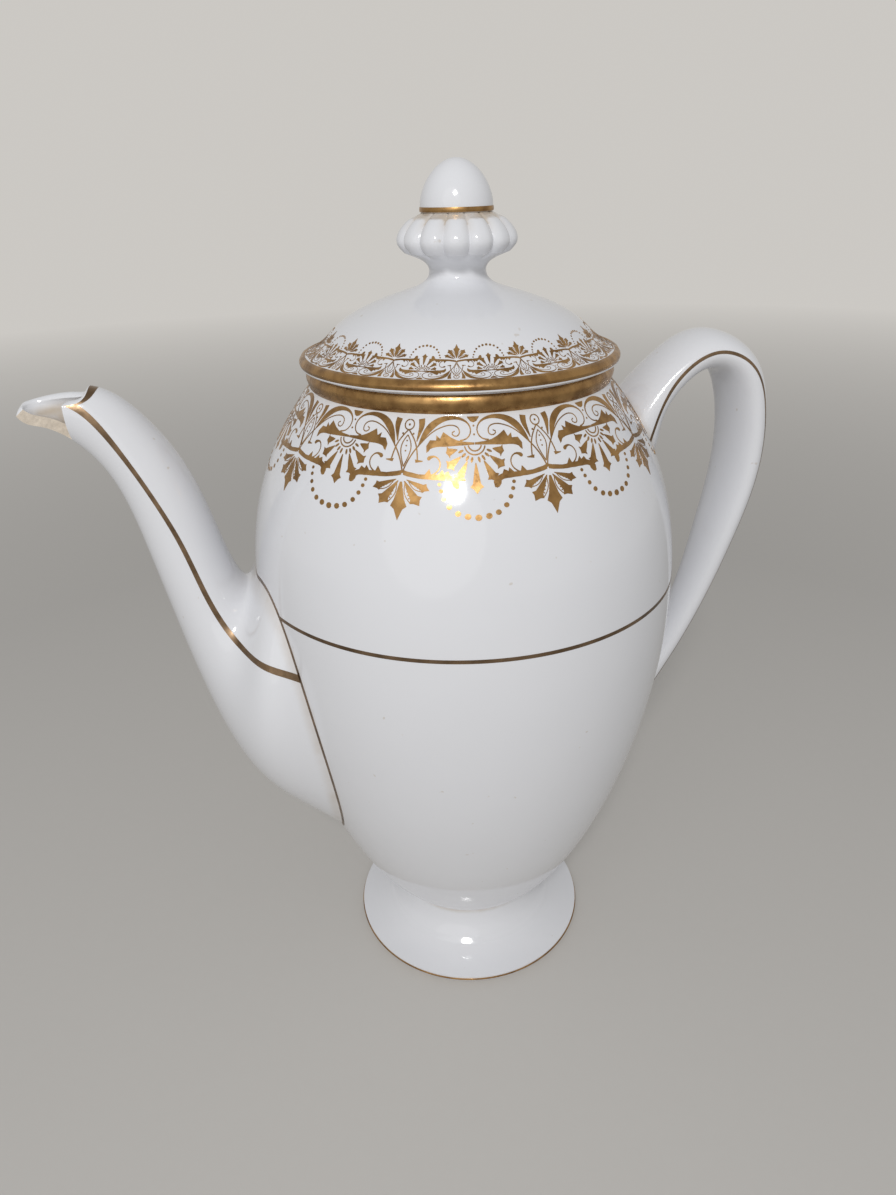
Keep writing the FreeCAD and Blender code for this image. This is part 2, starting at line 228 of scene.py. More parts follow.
# Grooves between the lobes: radii over which they start underneath, share of the height over which they end,
# sharpness, and depth of the ledge above the lobes as a share of theirs
GROOVE_START = (9.0, 13.5)
GROOVE_END = (0.97, 1.0)
GROOVE_SHARPNESS = 1.4
LEDGE_SHARE = 0.6

# Gilt bands: how far a wide band and a narrow one swell, as a share of their width
BAND_CROWN = 0.22
LINE_CROWN = 0.08
# How far the neck's band runs down the shoulder and the lid's band up the dome
NECK_BAND_RUN = 0.6
LID_BAND_RUN = 1.3
# Depth of a band's section, and of the film where it runs on
BAND_DEPTH = 0.5
RUN_DEPTH = 0.2
# How many films deep a band's run lies on the china
RUN_FILMS = 3
# Where the neck's band starts above the neck and the foot's line above the solid, how far the lid's band
# leans in, and how far the finial's line stands out of the acorn
NECK_BAND_STEP = 0.1
FOOT_LINE_STEP = 0.3
LID_BAND_LEAN = 0.5
FINIAL_LINE_STEP = 0.1

# Lace: across is measured at the girth of the middle of the frieze, down from its edge
NECK_LACE_GIRTH = 48.0
LID_LACE_GIRTH = 37.0
NECK_REPEATS = 9
LID_REPEATS = 15
LACE_HALF = NECK_LACE_GIRTH * math.pi / NECK_REPEATS
LACE_DEPTH = 24.7
# Half width that no stroke goes under, and how much more each stroke is lifted than the one before
STROKE_LEAST = 0.05
STROKE_STEP = 0.01
# Middle of the shell that closes each repeat
SHELL_MIDDLE = np.array([LACE_HALF, 7.0])

# Age stain at each joint, at the finial's line partly residue and partly painted shade: its strength, and the
# distances from the joint between which it fades
STAINS_AND_SHADE = {
    "base": (0.7, 0.3, 2.6),
    "spout root": (0.45, 0.4, 2.2),
    "neck": (0.35, 0.0, 1.4),
    "foot top": (0.75, 0.0, 2.2),
    "sole": (0.5, 0.0, 1.0),
    "spout": (0.4, 0.3, 2.5),
    "handle": (0.4, 0.3, 2.0),
    "lid edge": (0.4, 0.1, 0.7),
    # Brown under the finial's gilt line: partly residue, partly painted shade on the ledge below the acorn
    "finial line": (0.8, 0.6, 1.8),
}
# Stain inside the mouth: its strength, and the depth below the edge and the reach over which it grows
MOUTH_STAIN = 0.9
MOUTH_STAIN_DEPTH = (0.2, 2.6)
MOUTH_STAIN_REACH = (30.0, 36.0)

# Camera of the view: place, heading from +Y towards +X, dip, roll and focal length in pixels
CAMERA_PLACE = (-46.28, -217.74, 235.39)
CAMERA_HEADING = 10.78
CAMERA_DIP = 26.93
CAMERA_ROLL = -1.60
CAMERA_FOCUS = 823.27
IMAGE_HEIGHT = 1195
SENSOR = 36.0

# Lamps: width in metres, turn aside from the camera in radians, height in degrees and distance in metres
KEY_LAMP = (0.16, 0.10, 40.0, 0.95)
FILL_LAMP = (1.8, 0.3, 22.0, 1.8)
# Floor in metres: its rings, and where it starts and ends to turn clear
FLOOR_RINGS = (0.0, 0.5, 1.2, 2.5)
FLOOR_FADE = (0.35, 1.6)


class PotChina(bpy.types.PropertyGroup):
    """Sizes of the china that the solids leave open."""

    wall: FloatProperty(
        name="Vessel wall", description="Thickness of the vessel's side",
        default=0.0034, unit="LENGTH")
    spout_wall: FloatProperty(
        name="Spout wall", description="Thickness of the spout's side",
        default=0.0028, unit="LENGTH")
    root_depth: FloatProperty(
        name="Root depth", description="How far the spout and the handle run into the vessel's side",
        default=0.001, unit="LENGTH")
    lobe_count: IntProperty(
        name="Lobes", description="Lobes round the finial's skirt", default=14)
    lobe_depth: FloatProperty(
        name="Lobe depth", description="Depth of the grooves between the lobes",
        default=0.0012, unit="LENGTH")


class PotGilding(bpy.types.PropertyGroup):
    """Widths and places of the gilding."""

    film: FloatProperty(
        name="Film", description="How far a gilt line stands above the glaze",
        default=0.00004, unit="LENGTH")
    spout_line: FloatProperty(
        name="Spout line", description="Least width of the line down each side of the spout",
        default=0.0012, unit="LENGTH")
    root_line: FloatProperty(
        name="Spout root line", description="Width of the line round the root of the spout",
        default=0.0012, unit="LENGTH")
    mouth_line: FloatProperty(
        name="Mouth line", description="Greatest width of the line below the mouth of the spout",
        default=0.0021, unit="LENGTH")
    handle_line: FloatProperty(
        name="Handle line", description="Width of the line along each side of the handle",
        default=0.0009, unit="LENGTH")
    handle_root_line: FloatProperty(
        name="Handle root line", description="Width of the line round each root of the handle",
        default=0.0009, unit="LENGTH")
    neck_repeats: IntProperty(
        name="Neck repeats", description="Repeats of the lace round the neck", default=NECK_REPEATS)
    neck_turn: FloatProperty(
        name="Neck turn", description="Place of a pendant of the neck lace round the pot",
        default=math.radians(42.0), subtype="ANGLE")
    lid_repeats: IntProperty(
        name="Lid repeats", description="Repeats of the lace round the lid", default=LID_REPEATS)
    lid_turn: FloatProperty(
        name="Lid turn", description="Place of a pendant of the lid lace round the pot",
        default=math.radians(257.0), subtype="ANGLE")


class PotFinish(bpy.types.PropertyGroup):
    """Colours of the glaze, the gilding and the broken edge."""

    glaze: FloatVectorProperty(
        name="Glaze", description="Colour of the glazed china",
        default=(0.785, 0.792, 0.822), subtype="COLOR", min=0, max=1)
    # Colour of real age stains, and in the finial's grooves and ledge partly painted shade
    stain_and_shade: FloatVectorProperty(
        name="Stain", description="Colour of the age stains at joints and in grooves",
        default=(0.50, 0.40, 0.28), subtype="COLOR", min=0, max=1)
    # Gilt colours well below aged gold: partly real wear, partly painted shade for the dark surroundings the
    # metal reflects
    gilt: FloatVectorProperty(
        name="Gilt", description="Colour of sound gilding",
        default=(0.42, 0.25, 0.10), subtype="COLOR", min=0, max=1)
    worn_and_shaded_gilt: FloatVectorProperty(
        name="Worn gilt", description="Colour of rubbed gilding",
        default=(0.25, 0.14, 0.055), subtype="COLOR", min=0, max=1)
    # Darker than the bands' gilt: painted shade for the dark surroundings that the thin lines reflect
    line_gilt_painted_shade: FloatVectorProperty(
        name="Line gilt", description="Colour of the thin gilt lines",
        default=(0.25, 0.17, 0.105), subtype="COLOR", min=0, max=1)
    body_clay: FloatVectorProperty(
        name="Clay", description="Colour of the unglazed clay at the broken lip",
        default=(0.74, 0.65, 0.54), subtype="COLOR", min=0, max=1)


class PotStage(bpy.types.PropertyGroup):
    """Floor, backdrop and lamps."""

    floor: FloatVectorProperty(
        name="Floor", description="Colour of the floor",
        default=(0.62, 0.60, 0.57), subtype="COLOR", min=0, max=1)
    backdrop: FloatVectorProperty(
        name="Backdrop", description="Colour behind the pot",
        default=(0.60, 0.58, 0.55), subtype="COLOR", min=0, max=1)
    sky: FloatProperty(name="Sky", description="Strength of the light from all round", default=0.36)
    key: FloatProperty(name="Key", description="Power of the lamp near the camera", default=3.4, unit="POWER")
    fill: FloatProperty(name="Fill", description="Power of the large front lamp", default=5.0, unit="POWER")


def settings(group):
    """One of the pot's groups of settings."""
    return getattr(bpy.context.scene, group)


def polar(angle, length):
    """Step of a length at an angle above the radius, in degrees."""
    angle = math.radians(angle)
    return np.array([length * math.cos(angle), length * math.sin(angle)])


def bezier(start, pull, push, end, count):
    """Cubic curve: the four corners weighted by the Bernstein terms of each share of the way."""
    share = np.linspace(0, 1, count)[:, None]
    start, pull, push, end = (np.array(corner, float) for corner in (start, pull, push, end))
    rest = 1 - share
    return rest**3 * start + 3 * share * rest**2 * pull + 3 * share**2 * rest * push + share**3 * end


def chain(*runs):
    """One outline out of runs of points that follow each other, with repeated points dropped."""
    rows = np.concatenate([np.atleast_2d(np.array(run, float)) for run in runs])
    fresh = np.append(True, np.linalg.norm(np.diff(rows, axis=0), axis=1) > 1e-6)
    return rows[fresh]


def curve_through(rows, where):
    """Smooth curve through rows of numbers: cubics that share slope and bend where they meet.

    where runs from 0 at the first row to 1 at the last, by the straight distance between rows.
    """
    steps = np.linalg.norm(np.diff(rows, axis=0), axis=1)
    knots = np.append(0, np.cumsum(steps)) / steps.sum()
    gaps = np.diff(knots)
    slopes = np.diff(rows, axis=0) / gaps[:, None]
    system = np.eye(len(rows))
    inner = np.arange(1, len(rows) - 1)
    system[inner, inner - 1] = gaps[:-1]
    system[inner, inner] = 2 * (gaps[:-1] + gaps[1:])
    system[inner, inner + 1] = gaps[1:]
    target = np.zeros_like(rows)
    target[1:-1] = 6 * np.diff(slopes, axis=0)
    bend = np.linalg.solve(system, target)
    where = np.asarray(where, float)
    span = np.clip(np.searchsorted(knots, where, side="right") - 1, 0, len(gaps) - 1)
    gap = gaps[span][..., None]
    ahead = (where[..., None] - knots[span][..., None]) / gap
    behind = 1 - ahead
    straight = behind * rows[span] + ahead * rows[span + 1]
    bowed = (behind**3 - behind) * bend[span] + (ahead**3 - ahead) * bend[span + 1]
    return straight + bowed * gap**2 / 6


def offset_in(profile, depth):
    """Outline moved inwards: each point steps back along the normal of its run of the profile."""
    ahead = np.gradient(profile, axis=0)
    ahead /= np.linalg.norm(ahead, axis=1, keepdims=True)
    normal = np.stack([ahead[:, 1], -ahead[:, 0]], -1)
    return profile - depth * normal


def vessel_side():
    """Outer side of the vessel from its foot to its neck: two cubics that meet upright at the belly."""
    base = np.array([BASE_RADIUS, VESSEL_FOOT])
    belly = np.array([BELLY_RADIUS, BELLY])
    neck = np.array([NECK_RADIUS, NECK])
    lower = bezier(base, base + polar(BASE_SLOPE, BASE_PULL), belly - (0, BELLY_PULL_DOWN), belly, 110)
    upper = bezier(belly, belly + (0, BELLY_PULL_UP), neck + polar(NECK_SLOPE, NECK_PULL), neck, 80)
    return chain(lower, upper)


def lid_dome():
    """Top of the lid from its gilt edge up to the finial: one cubic."""
    edge = np.array([LID_BAND_RADIUS - DOME_EDGE_STEP, LID_BAND_TOP])
    top = np.array([FINIAL_FOOT_RADIUS, LID_TOP])
    edge_pull = edge + polar(DOME_EDGE_SLOPE, DOME_EDGE_PULL)
    return bezier(edge, edge_pull, top + polar(DOME_TOP_SLOPE, DOME_TOP_PULL), top, 70)


SIDE = vessel_side()
DOME = lid_dome()


def side_radius(level):
    """Radius of the vessel's outer side at a level."""
    return np.interp(level, SIDE[:, 1], SIDE[:, 0])


def turned_face(profile):
    """Surface round the axis: the profile at each way along it, lifted along its normal, turned by the
    azimuth. The ways of the profile's own points come with it."""
    ways = np.append(0, np.cumsum(np.linalg.norm(np.diff(profile, axis=0), axis=1)))
    ahead = np.gradient(profile, axis=0)
    normal = np.stack([ahead[:, 1], -ahead[:, 0]], -1)
    normal *= np.sign(normal[:, :1]) / np.linalg.norm(normal, axis=1, keepdims=True)

    def face(turn, way, lift):
        radius = np.interp(way, ways, profile[:, 0]) + lift * np.interp(way, ways, normal[:, 0])
        level = np.interp(way, ways, profile[:, 1]) + lift * np.interp(way, ways, normal[:, 1])
        return np.stack([radius * np.cos(turn), radius * np.sin(turn), level], -1)

    return face, ways


def tube_face(sections):
    """Surface of an oval tube: from the middle of each section, the half axis by the cosine of the turn
    and the half width by its sine, both grown by the lift; sections are joined by smooth curves."""
    def face(turn, along, lift):
        row = curve_through(sections, along)
        centre = (row[..., 0:2] + row[..., 2:4]) / 2
        half = (row[..., 0:2] - row[..., 2:4]) / 2
        grown = 1 + lift / np.linalg.norm(half, axis=-1)
        flat = centre + half * (grown * np.cos(turn))[..., None]
        across = (row[..., 4] + lift) * np.sin(turn)
        return np.stack([flat[..., 0], across, flat[..., 1]], -1)

    return face


def spout_sections():
    """Ends of the axis of each section of the spout, in the pot's own upright plane, and half its width."""
    rows = np.array(SPOUT_SECTIONS)
    return np.stack([
        -BELLY_RADIUS - rows[:, 0], BELLY + rows[:, 1],
        -BELLY_RADIUS - rows[:, 2], BELLY + rows[:, 3], rows[:, 4]], -1)


def handle_sections():
    """Ends of the axis of each section of the handle: square to the smooth path through their middles."""
    rows = np.array(HANDLE_SECTIONS)
    middles = rows[:, :2] + (BELLY_RADIUS, NECK)
    steps = np.linalg.norm(np.diff(middles, axis=0), axis=1)
    knots = np.append(0, np.cumsum(steps)) / steps.sum()
    nudge = 1e-4
    ahead = curve_through(middles, np.minimum(knots + nudge, 1))
    ahead -= curve_through(middles, np.maximum(knots - nudge, 0))
    ahead /= np.linalg.norm(ahead, axis=1, keepdims=True)
    out = np.stack([-ahead[:, 1], ahead[:, 0]], -1) * rows[:, 2:3] / 2
    return np.column_stack([middles + out, middles - out, rows[:, 3]])


SPOUT = tube_face(spout_sections())
MOUTH_EDGE = curve_through(np.array(MOUTH_SWEEP), np.linspace(0, 1, 80))
HANDLE = tube_face(handle_sections())
SHOULDER, SHOULDER_WAYS = turned_face(SIDE[::-1])
DOME_FACE, DOME_WAYS = turned_face(DOME)


def crossing(face, turn, lift, gap, start, end):
    """Share of the way along each line of a tube where a gap first turns positive: sampled, then halved in;
    the end of the stretch where it never does."""
    along = np.linspace(start, end, 160)
    gaps = gap(face(turn[:, None], np.repeat(along[None], len(turn), 0), lift))
    rising = (gaps[:, :-1] < 0) & (gaps[:, 1:] >= 0)
    first = rising.argmax(axis=1)
    below, above = along[first], along[first + 1]
    for _ in range(30):
        middle = (below + above) / 2
        under = gap(face(turn, middle, lift)) < 0
        below = np.where(under, middle, below)
        above = np.where(under, above, middle)
    return np.where(rising.any(axis=1), below, end)


def over_side(depth):
    """Gap of points from the vessel's outer side, set in by a depth."""
    return lambda points: np.hypot(points[..., 0], points[..., 1]) - side_radius(points[..., 2]) + depth


def over_mouth(points):
    """Gap of points above the swept edge of the spout's mouth: their height over the straight less the sweep,
    with a quarter of an oval taken off at the nose."""
    slope = (MOUTH_TIP[1] - MOUTH_BACK[1]) / (MOUTH_TIP[0] - MOUTH_BACK[0])
    reach = -BELLY_RADIUS - points[..., 0]
    straight = BELLY + MOUTH_BACK[1] + slope * (reach - MOUTH_BACK[0])
    start, end, fall = NOSE
    share = np.clip((reach - start) / (end - start), 0, 1)
    nose = fall * (1 - np.sqrt(1 - share**2)) + NOSE_FALL * np.maximum(reach - end, 0)
    return points[..., 2] - straight - np.interp(reach, MOUTH_EDGE[:, 0], MOUTH_EDGE[:, 1]) + nose


def over_break(points):
    """Gap of points beyond the upright plane where the lip is broken."""
    return -BELLY_RADIUS - BREAK_REACH - points[..., 0]


def blend(start, end, value):
    """Smooth step from 0 at start to 1 at end."""
    share = np.clip((value - start) / (end - start), 0, 1)
    return share * share * (3 - 2 * share)


def stain_and_shade_at(joint, distance):
    """Age stain at a distance from a joint, at the finial's line partly painted shade: its full strength
    close by, then a smooth step down to none.
    """
    strength, near, far = STAINS_AND_SHADE[joint]
    return strength * (1 - blend(near, far, distance))


def quads(index):
    """Four-cornered faces of a grid of point numbers."""
    return np.stack([index[:-1, :-1], index[1:, :-1], index[1:, 1:], index[:-1, 1:]], -1).reshape(-1, 4)


def sheet(grid):
    """Points and faces of one grid of points."""
    rows, columns = grid.shape[:2]
    return grid.reshape(-1, 3), quads(np.arange(rows * columns).reshape(rows, columns))


def film(top, under):
    """Closed thin solid between two like grids: both skins and the wall round their edge."""
    rows, columns = top.shape[:2]
    count = rows * columns
    index = np.arange(count).reshape(rows, columns)
    edge = np.concatenate([index[0, :-1], index[:-1, -1], index[-1, :0:-1], index[:0:-1, 0]])
    following = np.roll(edge, -1)
    skin = quads(index)
    wall = np.stack([edge, following, following + count, edge + count], -1)
    points = np.concatenate([top.reshape(count, -1), under.reshape(count, -1)])
    return points, np.concatenate([skin, skin[:, ::-1] + count, wall])


def joined(shapes):
    """Points and faces of several shapes as one."""
    starts = np.cumsum([0] + [len(points) for points, _ in shapes[:-1]])
    faces = [faces + start for (_, faces), start in zip(shapes, starts)]
    return np.concatenate([points for points, _ in shapes]), np.concatenate(faces)


def turned(profile, count):
    """Profile carried round the axis: radius by the cosine and sine of each turn, level as it is."""
    turn = np.linspace(0, 2 * np.pi, count + 1)
    radius, level = profile[:, 0, None], profile[:, 1, None]
    return np.stack([radius * np.cos(turn), radius * np.sin(turn), level + 0 * turn], -1)


def ribbon(face, turn, way, half_width, lift, shift=0.0, stop=None):
    """Closed film along a path on a surface: each column lies its share of the half width to the side of
    the path, a step that is solved as a change of turn and way so that it stays on the surface. The shift
    moves the whole film aside by its own share of the half width. With a stop, a gap that turns positive
    past an edge, each column is drawn back to end on that edge."""
    nudge = 1e-4
    middle = face(turn, way, 0.0)
    by_turn = (face(turn + nudge, way, 0.0) - middle) / nudge
    by_way = (face(turn, way + nudge, 0.0) - middle) / nudge
    aside = np.cross(np.cross(by_turn, by_way), np.gradient(middle, axis=0))
    aside /= np.linalg.norm(aside, axis=1, keepdims=True)
    turn_turn = (by_turn**2).sum(1)
    way_way = (by_way**2).sum(1)
    turn_way = (by_turn * by_way).sum(1)
    turn_aside = (by_turn * aside).sum(1)
    way_aside = (by_way * aside).sum(1)
    scale = turn_turn * way_way - turn_way**2
    turn_step = (turn_aside * way_way - way_aside * turn_way) / scale
    way_step = (way_aside * turn_turn - turn_aside * turn_way) / scale
    share = np.broadcast_to(half_width, turn.shape)[:, None] * (shift + np.linspace(-1, 1, 5))
    turns = turn[:, None] + turn_step[:, None] * share
    ways = way[:, None] + way_step[:, None] * share
    if stop is not None:
        gap = stop(face(turns, ways, 0.0))
        columns = np.arange(gap.shape[1])
        past = np.maximum((gap >= 0).argmax(axis=0), 1)
        inside, outside = gap[past - 1, columns], gap[past, columns]
        rows = np.linspace(0, 1, len(turn))[:, None] * (past - outside / (outside - inside))
        row = np.minimum(rows.astype(int), len(turn) - 2)
        part = rows - row
        turns = turns[row, columns] * (1 - part) + turns[row + 1, columns] * part
        ways = ways[row, columns] * (1 - part) + ways[row + 1, columns] * part
    return film(face(turns, ways, lift), face(turns, ways, -lift))


def add_piece(name, shape, body, materials, replaced=(), marks=None, stain_and_shade=None, sharp=40.0):
    """Welds a shape into a closed mesh with its faces outwards and hangs it on a body of the pot."""
    points, faces = shape
    mesh = bpy.data.meshes.new(name)
    mesh.vertices.add(len(points))
    mesh.vertices.foreach_set("co", (points * MM).astype(np.float32).ravel())
    mesh.loops.add(faces.size)
    mesh.loops.foreach_set("vertex_index", faces.astype(np.int32).ravel())
    mesh.polygons.add(len(faces))
    mesh.polygons.foreach_set("loop_start", np.arange(0, faces.size, 4, dtype=np.int32))
    for material in materials:
        mesh.materials.append(material)
    if marks is not None:
        mesh.polygons.foreach_set("material_index", marks.astype(np.int32))
    mesh.update(calc_edges=True)
    if stain_and_shade is not None:
        layer = mesh.attributes.new("stain_and_shade", "FLOAT", "POINT")
        layer.data.foreach_set("value", stain_and_shade.astype(np.float32))
    shell = bmesh.new()
    shell.from_mesh(mesh)
    bmesh.ops.remove_doubles(shell, verts=shell.verts, dist=WELD)
    bmesh.ops.recalc_face_normals(shell, faces=shell.faces)
    shell.to_mesh(mesh)
    shell.free()
    if not mesh.polygons:
        raise RuntimeError(f"{name} has no faces")
    mesh.shade_smooth()
    mesh.set_sharp_from_angle(angle=math.radians(sharp))
    piece = bpy.data.objects.new(name, mesh)
    bpy.context.scene.collection.objects.link(piece)
    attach(piece, body)
    if replaced:
        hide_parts(*replaced)
    return piece


def add_node(tree, kind, links=(), **values):
    """Shader node with its settings or socket values and its incoming links."""
    node = tree.nodes.new(kind)
    for name, value in values.items():
        if hasattr(node, name):
            setattr(node, name, value)
        else:
            node.inputs[name].default_value = value
    for socket, source in links:
        tree.links.new(source, node.inputs[socket])
    return node


def new_material(name):
    """Empty node material with its tree, its Principled shader and Object coordinates; a material of that
    name that is there already comes without them."""
    material = bpy.data.materials.get(name)
    if material:
        return material, None, None, None
    material = bpy.data.materials.new(name)
    material.use_nodes = True
    tree = material.node_tree
    shader = tree.nodes["Principled BSDF"]
    place = add_node(tree, "ShaderNodeTexCoord").outputs["Object"]
    return material, tree, shader, place


def noise(tree, place, scale, detail=3.0):
    """Noise of a number of cells in a metre."""
    node = add_node(tree, "ShaderNodeTexNoise", [("Vector", place)], Scale=scale, Detail=detail)
    return node.outputs["Fac"]


def ranged(tree, value, low, high, to_low, to_high):
    """Value moved from one range to another and held inside it."""
    node = add_node(tree, "ShaderNodeMapRange", [("Value", value)])
    limits = {"From Min": low, "From Max": high, "To Min": to_low, "To Max": to_high}
    for socket, number in limits.items():
        node.inputs[socket].default_value = number
    return node.outputs["Result"]


def mixed(tree, factor, first, second):
    """Colour between two colours; either may be a socket."""
    node = add_node(tree, "ShaderNodeMix", data_type="RGBA")
    tree.links.new(factor, node.inputs["Factor"])
    for socket, colour in (("A", first), ("B", second)):
        target = next(item for item in node.inputs if item.name == socket and item.type == "RGBA")
        if isinstance(colour, bpy.types.NodeSocket):
            tree.links.new(colour, target)
        else:
            target.default_value = (*colour, 1)
    return next(item for item in node.outputs if item.type == "RGBA")


def bumped(tree, shader, height, strength, depth):
    """Bump of a depth in metres on the shader's normal."""
    node = add_node(tree, "ShaderNodeBump", [("Height", height)], Strength=strength, Distance=depth)
    tree.links.new(node.outputs["Normal"], shader.inputs["Normal"])


def glaze_material():
    """Cool white glaze with faint clouding, a few specks, slow waviness, and age stain where a joint
    holds it; on the finial the same brown is partly painted shade in its grooves and ledge."""
    finish = settings("pot_finish")
    material, tree, shader, place = new_material("glazed china")
    if tree is None:
        return material
    cloud = ranged(tree, noise(tree, place, 28.0), 0.35, 0.7, 0.0, 0.12)
    clouded = mixed(tree, cloud, finish.glaze, tuple(channel * 0.86 for channel in finish.glaze))
    speck = ranged(tree, noise(tree, place, 420.0, 1.0), 0.78, 0.82, 0.0, 0.35)
    specked = mixed(tree, speck, clouded, finish.stain_and_shade)
    # Stain per point; on the finial it is partly painted shade in the hollows of the skirt
    held = add_node(tree, "ShaderNodeAttribute", attribute_name="stain_and_shade").outputs["Fac"]
    patchy = ranged(tree, noise(tree, place, 160.0), 0.3, 0.7, 0.35, 1.0)
    stain_and_shade_mask = add_node(tree, "ShaderNodeMath", [(0, held), (1, patchy)], operation="MULTIPLY")
    colour = mixed(tree, stain_and_shade_mask.outputs[0], specked, finish.stain_and_shade)
    tree.links.new(colour, shader.inputs["Base Color"])
    tree.links.new(ranged(tree, noise(tree, place, 90.0), 0.3, 0.7, 0.06, 0.13), shader.inputs["Roughness"])
    shader.inputs["IOR"].default_value = 1.52
    bumped(tree, shader, noise(tree, place, 55.0, 1.0), 0.12, 0.0006)
    return material


def gilt_material(name="burnished gilt", colour=None):
    """Burnished gilding, rubbed darker in patches, with a fine brushed grain."""
    finish = settings("pot_finish")
    material, tree, shader, place = new_material(name)
    if tree is None:
        return material
    # Both colours are darkened: partly wear, partly painted shade for the dark surroundings that the metal
    # reflects
    sound, worn_and_shaded = finish.gilt, finish.worn_and_shaded_gilt
    if colour is not None:
        sound, worn_and_shaded = colour, tuple(channel * 0.6 for channel in colour)
    rubbed = ranged(tree, noise(tree, place, 240.0, 4.0), 0.38, 0.66, 0.0, 1.0)
    tree.links.new(mixed(tree, rubbed, sound, worn_and_shaded), shader.inputs["Base Color"])
    shader.inputs["Metallic"].default_value = 1.0
    tree.links.new(ranged(tree, noise(tree, place, 900.0), 0.3, 0.7, 0.22, 0.42), shader.inputs["Roughness"])
    bumped(tree, shader, noise(tree, place, 1500.0, 2.0), 0.12, 0.0001)
    return material


def line_material():
    """Thin gilding of the lines, darker than the bands: painted shade for the dark surroundings that the
    lines reflect.
    """
    return gilt_material("thin gilt", settings("pot_finish").line_gilt_painted_shade)


def clay_material():
    """Unglazed clay of a broken edge: rough, mottled, with small pits."""
    finish = settings("pot_finish")
    material, tree, shader, place = new_material("broken clay")
    if tree is None:
        return material
    mottle = ranged(tree, noise(tree, place, 700.0, 4.0), 0.35, 0.65, 0.0, 1.0)
    dark = tuple(channel * 0.82 for channel in finish.body_clay)
    tree.links.new(mixed(tree, mottle, finish.body_clay, dark), shader.inputs["Base Color"])
    shader.inputs["Roughness"].default_value = 0.85
    bumped(tree, shader, noise(tree, place, 1600.0, 4.0), 0.5, 0.0002)
    return material


def spout_root():
    """Points round the spout where it meets the vessel's side."""
    turn = np.linspace(-np.pi + 0.02, np.pi - 0.02, 181)
    along = crossing(SPOUT, turn, 0.0, over_side(0.0), *SPOUT_ROOT_SPAN)
    return SPOUT(turn, along, 0.0)


def root_gap(points):
    """How far points of the vessel's side lie outside the spout's root, round the pot, by their level."""
    root = spout_root()
    far_side = root[root[:, 1] >= 0]
    order = np.argsort(far_side[:, 2])
    level = far_side[order, 2]
    reach = np.arctan2(far_side[order, 1], -far_side[order, 0])
    half = np.interp(points[:, 2], level, reach, left=-1, right=-1)
    turn = np.abs(np.arctan2(points[:, 1], -points[:, 0]))
    gap = (turn - half) * np.hypot(points[:, 0], points[:, 1])
    return np.where(half < 0, 99.0, gap)


class POT_OT_vessel(bpy.types.Operator):
    """Vessel: a turned outline with its wall, floor and rounded rim, pierced by the strainer"""

    bl_idname = "coffee_pot.vessel"
    bl_label = "Add vessel"

    def execute(self, context):
        wall = settings("pot_china").wall / MM
        inside = offset_in(SIDE[::2], wall)
        inside = inside[inside[:, 1] > VESSEL_FLOOR + FLOOR_CORNER_UP]
        rim_out = bezier((NECK_RADIUS, RIM - COLLAR_START), (NECK_RADIUS, RIM - COLLAR_PULL),
                         (NECK_RADIUS - COLLAR_PULL, RIM), (NECK_RADIUS - COLLAR_START, RIM), 6)
        rim_in = bezier((COLLAR_BORE + COLLAR_START, RIM), (COLLAR_BORE + COLLAR_PULL, RIM),
                        (COLLAR_BORE, RIM - COLLAR_PULL), (COLLAR_BORE, RIM - COLLAR_START), 6)
        floor_edge = inside[0, 0]
        floor = [(floor_edge - FLOOR_CORNER_IN, VESSEL_FLOOR), (floor_edge / 2, VESSEL_FLOOR),
                 (0, VESSEL_FLOOR)]
        outline = chain([(0, VESSEL_FOOT)], SIDE, rim_out, rim_in, [(COLLAR_BORE, NECK - COLLAR_END)],
                        inside[::-1], floor)
        points, faces = sheet(turned(outline, TURNED_STEPS))
        level = points[:, 2]
        stain_and_shade = np.max([stain_and_shade_at("base", level - VESSEL_FOOT), stain_and_shade_at("neck", NECK - level),
                        stain_and_shade_at("spout root", np.abs(root_gap(points)))], axis=0)
        vessel = add_piece("china_vessel", (points, faces), "pot", [glaze_material()],
                           ["vessel"], stain_and_shade=stain_and_shade)
        self.pierce(vessel)
        return {"FINISHED"}

    def pierce(self, vessel):
        """Cuts the strainer: one hole and rings round it, each a rod along the spout's side of the wall."""
        middles = [np.zeros((1, 2))]
        for ring in range(1, STRAINER_RINGS + 1):
            angle = np.linspace(0, 2 * np.pi, ring * STRAINER_RING_GAIN, endpoint=False)
            middles.append(ring * STRAINER_PITCH * np.stack([np.sin(angle), np.cos(angle)], -1))
        turn = np.linspace(0, 2 * np.pi, 25)
        radius = STRAINER_RADIUS * np.array([0, 1, 1, 0])[:, None]
        reach = np.array([-DRILL_OUT, -DRILL_OUT, DRILL_IN, DRILL_IN]) - BELLY_RADIUS
        rods = []
        for across, rise in np.concatenate(middles):
            rods.append(sheet(np.stack([
                reach[:, None] + 0 * turn,
                across + radius * np.cos(turn),
                BELLY - STRAINER_DROP + rise + radius * np.sin(turn)], -1)))
        drill = add_piece("strainer_drill", joined(rods), "pot", [])
        cut = vessel.modifiers.new("strainer", "BOOLEAN")
        cut.operation = "DIFFERENCE"
        cut.solver = "MANIFOLD"
        cut.object = drill
        shown = vessel.evaluated_get(bpy.context.evaluated_depsgraph_get())
        pierced = bpy.data.meshes.new_from_object(shown)
        vessel.modifiers.clear()
        plain = vessel.data
        if len(pierced.polygons) <= len(plain.polygons) // 2:
            raise RuntimeError("the strainer's cut left too little of the vessel")
        vessel.data = pierced
        bpy.data.meshes.remove(plain)
        pierced.name = "china_vessel"
        bpy.data.objects.remove(drill)


